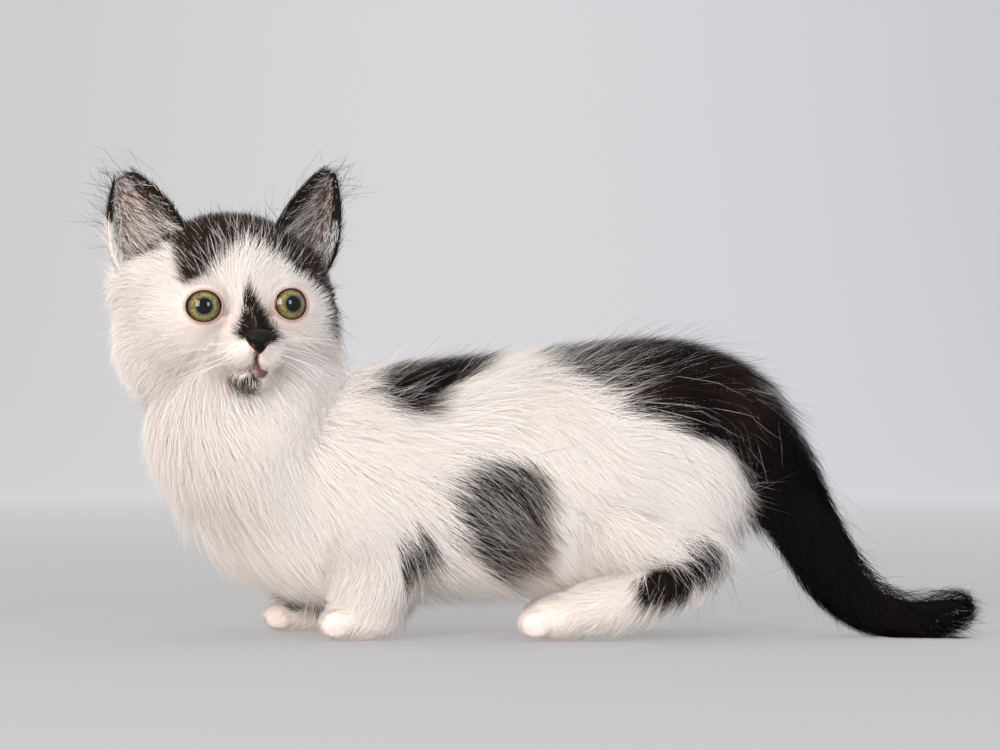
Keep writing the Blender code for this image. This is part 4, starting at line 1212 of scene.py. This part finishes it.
def cup_hair(name, side):
    """Roots all over the cup, most near its edges, and hair that fans up and out across it."""
    cup = (kinds == IS_EAR_CUP) & (side * to_head(middles)[:, 0] > 0)
    face, root, uv = draw_roots(np.where(cup, areas * 3.6, 0))
    normal = face_normals[face]
    up = EAR_UP * (side, 1, 1) @ HEAD_AXES.T
    outward = EAR_ACROSS * (side, 1, 1) @ HEAD_AXES.T
    u, v = on_ear(root)
    inner_band = (u < -0.4) & (v > 0.08)
    outer_rim = u > 0.6
    share = np.select([inner_band | outer_rim, v < 0.15], [1.0, 0.6], 0.4)
    keep = chance.random(len(root)) < share
    face, root, uv, normal, u, v, inner_band, outer_rim = (
        x[keep] for x in (face, root, uv, normal, u, v, inner_band, outer_rim))
    n = len(root)
    fan = np.where(u > 0.8, 0.3, 0.55 - 0.4 * np.clip(u + 0.2, 0, 1))[:, None]
    way = unit(up * (0.8 + 0.6 * chance.random((n, 1))) + outward * fan + 0.14 * chance.normal(size=(n, 3)))
    length = np.select([inner_band, outer_rim, v < 0.2], [8.0, 5.0, EAR_TUFT], 9.0)
    length = length * chance.uniform(0.5, 1.1, n) * (1 - 0.5 * np.clip(v, 0, 1))
    spine = straight(root, way, length[:, None], normal, 1.6, 2.0)
    edge = u > 0.85
    low_edge, middle = (0.5, 0.62) if side > 0 else (0.1, 0.42)
    share = np.select([inner_band, edge & (v > 0.4), edge], [0.9, 0.97, low_edge], middle)
    dark = chance.random(n) < np.maximum(share, np.clip((v - 0.75) * 5, 0, 0.95))
    pale = mixed(SILVER, WHITE, chance.random(n))
    brown = mixed(BROWN, TAN, chance.uniform(0, 0.5, n))
    brown = np.where((inner_band | edge)[:, None], mixed(BLACK, BROWN, chance.random(n)), brown)
    colour = np.where(dark[:, None], brown, pale)
    # The fine hair is lit as if it faced out of the cup, since light comes through it from all sides.
    open_way = -EAR_BACK * (side, 1, 1) @ HEAD_AXES.T
    facing = unit(normal + 1.5 * open_way)
    spikes(name, spine, facing, chance.uniform(0.11, 0.18, n), np.stack([colour] * 3, 1), uv)
    print(name, n, "hairs")


for word, side in SIDES.items():
    ear_hair("coat_ear_" + word, side)
    cup_hair("tuft_ear_" + word, side)

# %% [markdown]
# Long single hairs stand off the coat everywhere and catch the light. They are what makes the
# outline soft: on the back, on the rump, along the tail and on top of the head.

# %% Wisps


def wisps(name, where, per_area, long, rise, silver):
    """Thin long hairs that rise off the coat. The last number is the share of pale ones in black."""
    face, root, uv = draw_roots(np.where(where & (kinds != IS_EAR_CUP), areas * per_area, 0))
    n = len(root)
    normal, way, depth = face_normals[face], lie[face], row[face, 0]
    way = unit(way + 0.25 * chance.normal(size=(n, 3)))
    length = (long * chance.uniform(0.7, 1.2, n))[:, None]
    lift = (depth + rise * chance.random(n) ** 2)[:, None]
    spine = [root]
    for share in SHARES:
        place, out = laid_on_skin(root + way * length * share)
        spine.append(place + out * lift * share**0.8 - UP * length * 0.05 * share**2)
    spine = held_in(np.stack(spine, 1))
    dark = darkness(root) > 0
    pale = mixed(SILVER, WHITE, chance.random(n))
    few = 1 - 0.5 * ramp(root[:, 0], 50, 65) - 0.45 * ramp(root[:, 0], 96, 111)
    deep = np.where((chance.random(n) < silver * few)[:, None], pale, BLACK)
    colour = np.where(dark[:, None], deep, pale)
    spikes(name, spine, normal, chance.uniform(0.10, 0.15, n), np.stack([colour] * 4, 1), uv)
    print(name, n, "hairs")


wisps("wisps_body", ~on_head & ~low & ~bare, 0.045, 28, 8, 0.2)
wisps("wisps_back", ~on_head & ~low & (face_normals[:, 2] > 0.25), 0.09, 27, 14, 0.15)
wisps("wisps_tail", tail_side & ~bare, 0.11, 20, 8, 0.06)
head_skin = on_head & (kinds == IS_SKIN)
crown = h[:, 2] > 14
wisps("wisps_head", head_skin & crown, 0.22, 12, 6, 0.15)
wisps("wisps_cheeks", head_skin & ~crown & (h[:, 1] > -14), 0.12, 17, 5, 0.3)

# %% [markdown]
# Eyes are balls of clear wet glass over a painted iris. From the middle outwards come a black
# pupil, a grey-green ring, an olive gold band with brown flecks, and a dark rim. The rings are
# worked out in the shader from the distance to the line of sight.

# %% Eyes
EYE_GREY = paint(40, 50, 44)
EYE_GREEN = paint(82, 88, 66)
EYE_GOLD = paint(148, 130, 80)
EYE_OLIVE = paint(96, 90, 56)
EYE_RIM = paint(24, 24, 20)
EYE_BROWN = paint(84, 54, 24)
PUPIL = 2.9
IRIS_WIDTH = 3.4
DARK_RIM = 5.9
LID_THICKNESS = 0.55


def eye_finish(name, side):
    """Rings of colour by r, the distance from the line of sight in mm, frayed by noise. The dark rim reaches
    further in at the top, as painted shade under the upper lid.
    """
    material, shader, start = finish_of(name, Roughness=0.3, Coat_Weight=1.0, Coat_Roughness=0.01,
                                        Coat_IOR=1.38, Specular_IOR_Level=0.0)
    gaze = -eye_axes(side)[:, 1]
    centre = (from_head(EYE_PLACE * (side, 1, 1)) + SHIFT) * MM
    spot = start.node("ShaderNodeTexCoord", {}, {}, "Object")
    vector = "ShaderNodeVectorMath"
    local = start.node(vector, {"operation": "SUBTRACT"}, {0: spot, 1: centre})
    ahead = start.node(vector, {"operation": "DOT_PRODUCT"}, {0: local, 1: gaze}, 1)
    on_axis = start.node(vector, {"operation": "SCALE"}, {0: gaze, "Scale": ahead})
    away = start.node(vector, {"operation": "SUBTRACT"}, {0: local, 1: on_axis})
    r = start.node(vector, {"operation": "LENGTH"}, {0: away}, 1) * 1000
    spoke = start.node(vector, {"operation": "NORMALIZE"}, {0: away})
    noise = "ShaderNodeTexNoise"
    fibre = start.node(noise, {}, {"Vector": spoke, "Scale": 7.0, "Detail": 8.0, "Roughness": 0.85})
    fleck = start.node(noise, {}, {"Vector": spot, "Scale": 1100.0, "Detail": 4.0, "Roughness": 0.7})
    stops = [(0.0, EYE_GREY), (0.22, EYE_GREEN), (0.45, EYE_GOLD), (0.8, EYE_OLIVE), (1.0, EYE_RIM)]
    where = ((r - PUPIL + 0.1) / IRIS_WIDTH + (fibre - 0.5) * 0.9).clamped()
    iris = start.node("ShaderNodeValToRGB", {"stops": stops}, {0: where})
    spots = ((fleck - 0.48) * 10).clamped() * ((r - 3.4) * 2).clamped() * 0.8
    iris = spots.mix(iris, EYE_BROWN)
    pupil = ((r - PUPIL + (fibre - 0.5) * 0.3) * 4).clamped()
    lift = start.node(vector, {"operation": "DOT_PRODUCT"}, {0: away, 1: eye_axes(side)[:, 2]}, 1) * 1000
    # The dark rim starts further in towards the top of the eye: painted shade under the upper lid, over the
    # iris's real dark ring.
    rim = ((r - DARK_RIM + lift * 0.09 + (fibre - 0.5) * 0.7) * 1.5).clamped()
    feed(shader, "Base Color", rim.mix(pupil.mix((0.002, 0.002, 0.003), iris), EYE_RIM))
    return material


lid_finish, shader, start = finish_of("lid", Roughness=0.35, Coat_Weight=0.4)
shader.inputs["Base Color"].default_value = (0.012, 0.009, 0.008, 1)

def band(loop, centre, thick):
    """A tube round a closed loop: the loop plus t(cos b outward + sin b sideways)."""
    tangent = unit(np.roll(loop, -1, axis=0) - np.roll(loop, 1, axis=0))
    outward = unit(loop - centre)
    sideways = np.cross(tangent, outward)
    b = np.linspace(0, 2 * np.pi, 8, endpoint=False)[None, :, None]
    grid = loop[:, None] + thick * (np.cos(b) * outward[:, None] + np.sin(b) * sideways[:, None])
    rows, columns = grid.shape[:2]
    i, j = np.arange(rows)[:, None], np.arange(columns)[None, :]
    i2, j2 = (i + 1) % rows, (j + 1) % columns
    here, ahead = i * columns + j, i2 * columns + j2
    first = np.stack([here, i * columns + j2, ahead], -1).reshape(-1, 3)
    second = np.stack([here, ahead, i2 * columns + j], -1).reshape(-1, 3)
    points, faces = grid.reshape(-1, 3), np.vstack([first, second])
    p, q, s = (points[faces[:, n]] for n in range(3))
    if (np.cross(p - centre, q - centre) * (s - centre)).sum() < 0:
        faces = faces[:, ::-1]
    return points, faces


for word, side in SIDES.items():
    centre = from_head(EYE_PLACE * (side, 1, 1))
    axes = eye_axes(side)
    shape = ball(centre, np.full(3, EYE_RADIUS), axes @ turned("X", 90), 64, 96)
    finished(piece("eyeball_" + word, *shape), eye_finish("iris_" + word, side), "eye", "eye_" + word)
    # The lid's edge is where the opening's oval meets the ball of the lid.
    a = np.linspace(0, 2 * np.pi, 97)[:-1, None]
    oval = np.c_[np.cos(a) * LID_OVAL[0], 0 * a, np.sin(a) * LID_OVAL[1]]
    oval[:, 1] = -np.sqrt((EYE_RADIUS + 0.2) ** 2 - oval[:, 0] ** 2 - oval[:, 2] ** 2)
    rim = piece("lid_rim_" + word, *band(centre + oval @ axes.T, centre, LID_THICKNESS))
    finished(rim, lid_finish, "eye")
print("eyes ready")

# %% Nose leather
NOSE_SIZE = np.array([6.9, 3.7, 4.7])
NOSTRIL = np.array([1.5, 2.2, 1.1])
nose_finish, shader, start = finish_of("nose_leather", Roughness=0.5, Specular_IOR_Level=0.12)
spot = start.node("ShaderNodeTexCoord", {}, {}, "Object")
grain = start.node("ShaderNodeTexVoronoi", {}, {"Vector": spot, "Scale": 2600.0})
bump = start.node("ShaderNodeBump", {}, {"Height": grain, "Strength": 0.25, "Distance": 0.0002})
feed(shader, "Normal", bump)
feed(shader, "Base Color", start.node("ShaderNodeAttribute", {"attribute_name": "coat_colour"}))
NOSE_BLACK = paint(12, 9, 8)
NOSE_SHEEN_BROWN = paint(27, 19, 15)
NOSE_AMBER = paint(104, 58, 38)


def nose_grid():
    """A ball squeezed below: x times 0.66 + 0.44 z, dented by a bell at each nostril."""
    b = np.linspace(0, np.pi, 62)[1:-1, None]
    a = np.linspace(0, 2 * np.pi, 80, endpoint=False)[None, :]
    z = np.cos(b) + 0 * a
    x = np.cos(a) * np.sin(b) * (0.66 + 0.44 * z)
    grid = np.stack([x, np.sin(a) * np.sin(b), z], -1) * NOSE_SIZE
    for side in SIDES.values():
        away = (grid - (3.0 * side, -2.2, -1.3)) / NOSTRIL
        grid[..., 1] += 3.2 * np.exp(-1.3 * (away**2).sum(-1))
    crease = np.exp(-((grid[..., 0] / 0.5) ** 2)) * ramp(-grid[..., 2], 0, 2) * (grid[..., 1] < 0)
    grid[..., 1] += 0.6 * crease
    return from_head(grid + NOSE_PLACE)


def nose_colours(points):
    """Brown on top as a painted sheen, black in front, and amber on the lower rim where the pad meets the
    fur.
    """
    local = to_head(points) - NOSE_PLACE
    # The top of the pad is painted brown: a painted sheen where the light falls on it.
    colour = mixed(NOSE_BLACK, NOSE_SHEEN_BROWN, ramp(local[:, 2], 0, 3))
    rim = ramp(local[:, 1], -1.1, -0.4) * ramp(-local[:, 2], -0.6, 0.6)
    return mixed(colour, NOSE_AMBER, rim)


nose = piece("nose_pad", *closed_grid(nose_grid()))
give_colours(nose, nose_colours(corners_of(nose) / MM - SHIFT))
finished(nose, nose_finish, "nose_leather", "nose")
print("nose:", len(nose.data.polygons), "triangles")

# %% [markdown]
# Whiskers are stiff, white and tapered. They stand in rows on the whisker pads and sweep out and
# back, with a few above each eye.

# %% Whiskers
whisker_finish, shader, start = finish_of("whisker", Roughness=0.35, Specular_IOR_Level=0.5)
shader.inputs["Base Color"].default_value = (0.9, 0.88, 0.85, 1)


def whisker(root, way, length, droop):
    """A rod along root + way s L - up droop s², thinning to its tip."""
    s = np.linspace(0, 1, 12)[:, None]
    path = held_in(root + way * s * length - UP * droop * s**2)
    return rod(path, 0.085 * (1 - 0.85 * s[:, 0]), 5)


shapes = []
for side in SIDES.values():
    for r, z in enumerate((-12.5, -15, -17.5, -19.5)):
        for k in range(3):
            root = on_face(side * (7 + 2.1 * k + 0.6 * r), z)
            back = 0.15 + 0.25 * chance.random()
            way = unit(np.array([side, back, 0.12 - 0.16 * r + 0.1 * chance.normal()]))
            reach = chance.uniform(28, 50) if side > 0 else chance.uniform(24, 36)
            shapes.append(whisker(root, way @ HEAD_AXES.T, reach, chance.uniform(4, 8 + 10 * (side > 0))))
    for k in range(4):
        root = on_face(side * (12 + 2 * k), 13.5 + 0.5 * k)
        way = unit(np.array([side * (0.2 + 0.2 * k), -0.25, 0.9]))
        shapes.append(whisker(root, way @ HEAD_AXES.T, chance.uniform(9, 15), -2.0))
whiskers = piece("whiskers", *joined(shapes))
finished(whiskers, whisker_finish, "white_coat")
print("whiskers:", len(shapes))

# %% [markdown]
# The photograph was taken in a pale seamless studio with soft light from the front left. The
# backdrop is one wide sheet that runs up far behind, so no edge shows.

# %% Stage, light and camera
backdrop_finish, shader, start = finish_of("backdrop", Roughness=0.9, Specular_IOR_Level=0.1,
                                           Emission_Strength=0.57)
shader.inputs["Base Color"].default_value = (0.2, 0.2, 0.202, 1)
# The backdrop glows. This is painted light: dimmer near the kitten, where the lamps light it, and brighter
# far off. It is painted darker towards the sides as painted shade, warm on the left and cool on the right
# like the lamps.
spot = start.node("ShaderNodeTexCoord", {}, {}, "Object")
across = start.node("ShaderNodeSeparateXYZ", {}, {0: spot}, 0)
warm = (across * 0.3 + 0.5).clamped()
aside = (across * across * 0.9).clamped()
ahead = warm.mix((0.98, 0.955, 0.945), (0.91, 0.93, 0.99))
shaded_sides = warm.mix((0.86, 0.83, 0.815), (0.80, 0.815, 0.865))
far = ((start.node("ShaderNodeVectorMath", {"operation": "LENGTH"}, {0: spot}, 1) - 0.3) / 2.4).clamped()
feed(shader, "Emission Color", far.mix((0.53, 0.52, 0.515), aside.mix(ahead, shaded_sides)))
# The sheet as a profile turned about the middle: flat, then a quarter round, then straight up.
turn = np.linspace(0, 2 * np.pi, 97)[:-1, None]
out = np.r_[np.linspace(0.3, 3.2, 12), 3.2 + 1.6 * np.sin(np.linspace(0.1, np.pi / 2, 12)), 4.8]
rise = np.r_[np.zeros(12), 1.6 * (1 - np.cos(np.linspace(0.1, np.pi / 2, 12))), 4.0]
grid = np.stack([np.cos(turn) * out, np.sin(turn) * out, 0 * turn + rise], -1).transpose(1, 0, 2)
rows, columns = grid.shape[:2]
points = np.vstack([grid.reshape(-1, 3), [[0, 0, 0]]])
i, j = np.arange(rows - 1)[:, None], np.arange(columns)[None, :]
k = (j + 1) % columns
here, beside = i * columns + j, i * columns + k
quads = np.stack([here, here + columns, beside + columns, beside], -1).reshape(-1, 4)
middle = np.stack([np.full(columns, rows * columns), j[0], k[0]], -1)
mesh = bpy.data.meshes.new("backdrop")
mesh.from_pydata(points.tolist(), [], quads.tolist() + middle.tolist())
mesh.shade_smooth()
backdrop = bpy.data.objects.new("backdrop", mesh)
bpy.context.scene.collection.objects.link(backdrop)
mesh.materials.append(backdrop_finish)

shot = SHIFT * MM


def softbox(name, place, aim, width, height, power, colour):
    """A rectangular area light that points at the kitten."""
    lamp = bpy.data.lights.new(name, "AREA")
    lamp.shape = "RECTANGLE"
    lamp.size = width
    lamp.size_y = height
    lamp.energy = power
    lamp.color = colour
    obj = bpy.data.objects.new(name, lamp)
    obj.location = np.array(place) + shot
    way = np.array(place) - np.array(aim)
    obj.rotation_euler = Matrix(np.c_[aim_axes(way)]).to_euler()
    bpy.context.scene.collection.objects.link(obj)


def aim_axes(back):
    """Axes of a lamp or camera that looks along -back, level across."""
    z = unit(np.asarray(back, float))
    x = unit(np.cross(UP, z))
    return np.stack([x, np.cross(z, x), z], 1)


softbox("window", (-0.62, -1.25, 0.5), (-0.05, 0, 0.08), 0.52, 0.75, 20, (1.0, 0.95, 0.90))
softbox("fill", (0.75, -1.2, 0.45), (0, 0, 0.08), 0.36, 0.5, 8.5, (0.7, 0.86, 1.0))
softbox("overhead", (0.0, 0.2, 1.6), (0, 0, 0.05), 1.4, 1.4, 6, (0.97, 0.98, 1.0))

world = bpy.data.worlds.new("room")
world.use_nodes = True
world.node_tree.nodes["Background"].inputs[0].default_value = (0.97, 0.975, 1.0, 1)
world.node_tree.nodes["Background"].inputs[1].default_value = 0.66
bpy.context.scene.world = world
bpy.context.scene.view_settings.view_transform = "Standard"

lens = bpy.data.cameras.new("camera")
lens.lens = 85
lens.sensor_width = 36
lens.clip_start = 0.05
lens.clip_end = 50
camera = bpy.data.objects.new("camera", lens)
camera.location = np.array([0, -0.944, 0.075]) + shot
camera.rotation_euler = (math.radians(91.75), 0, 0)
bpy.context.scene.collection.objects.link(camera)
bpy.context.scene.camera = camera
print("stage, lights and camera ready")
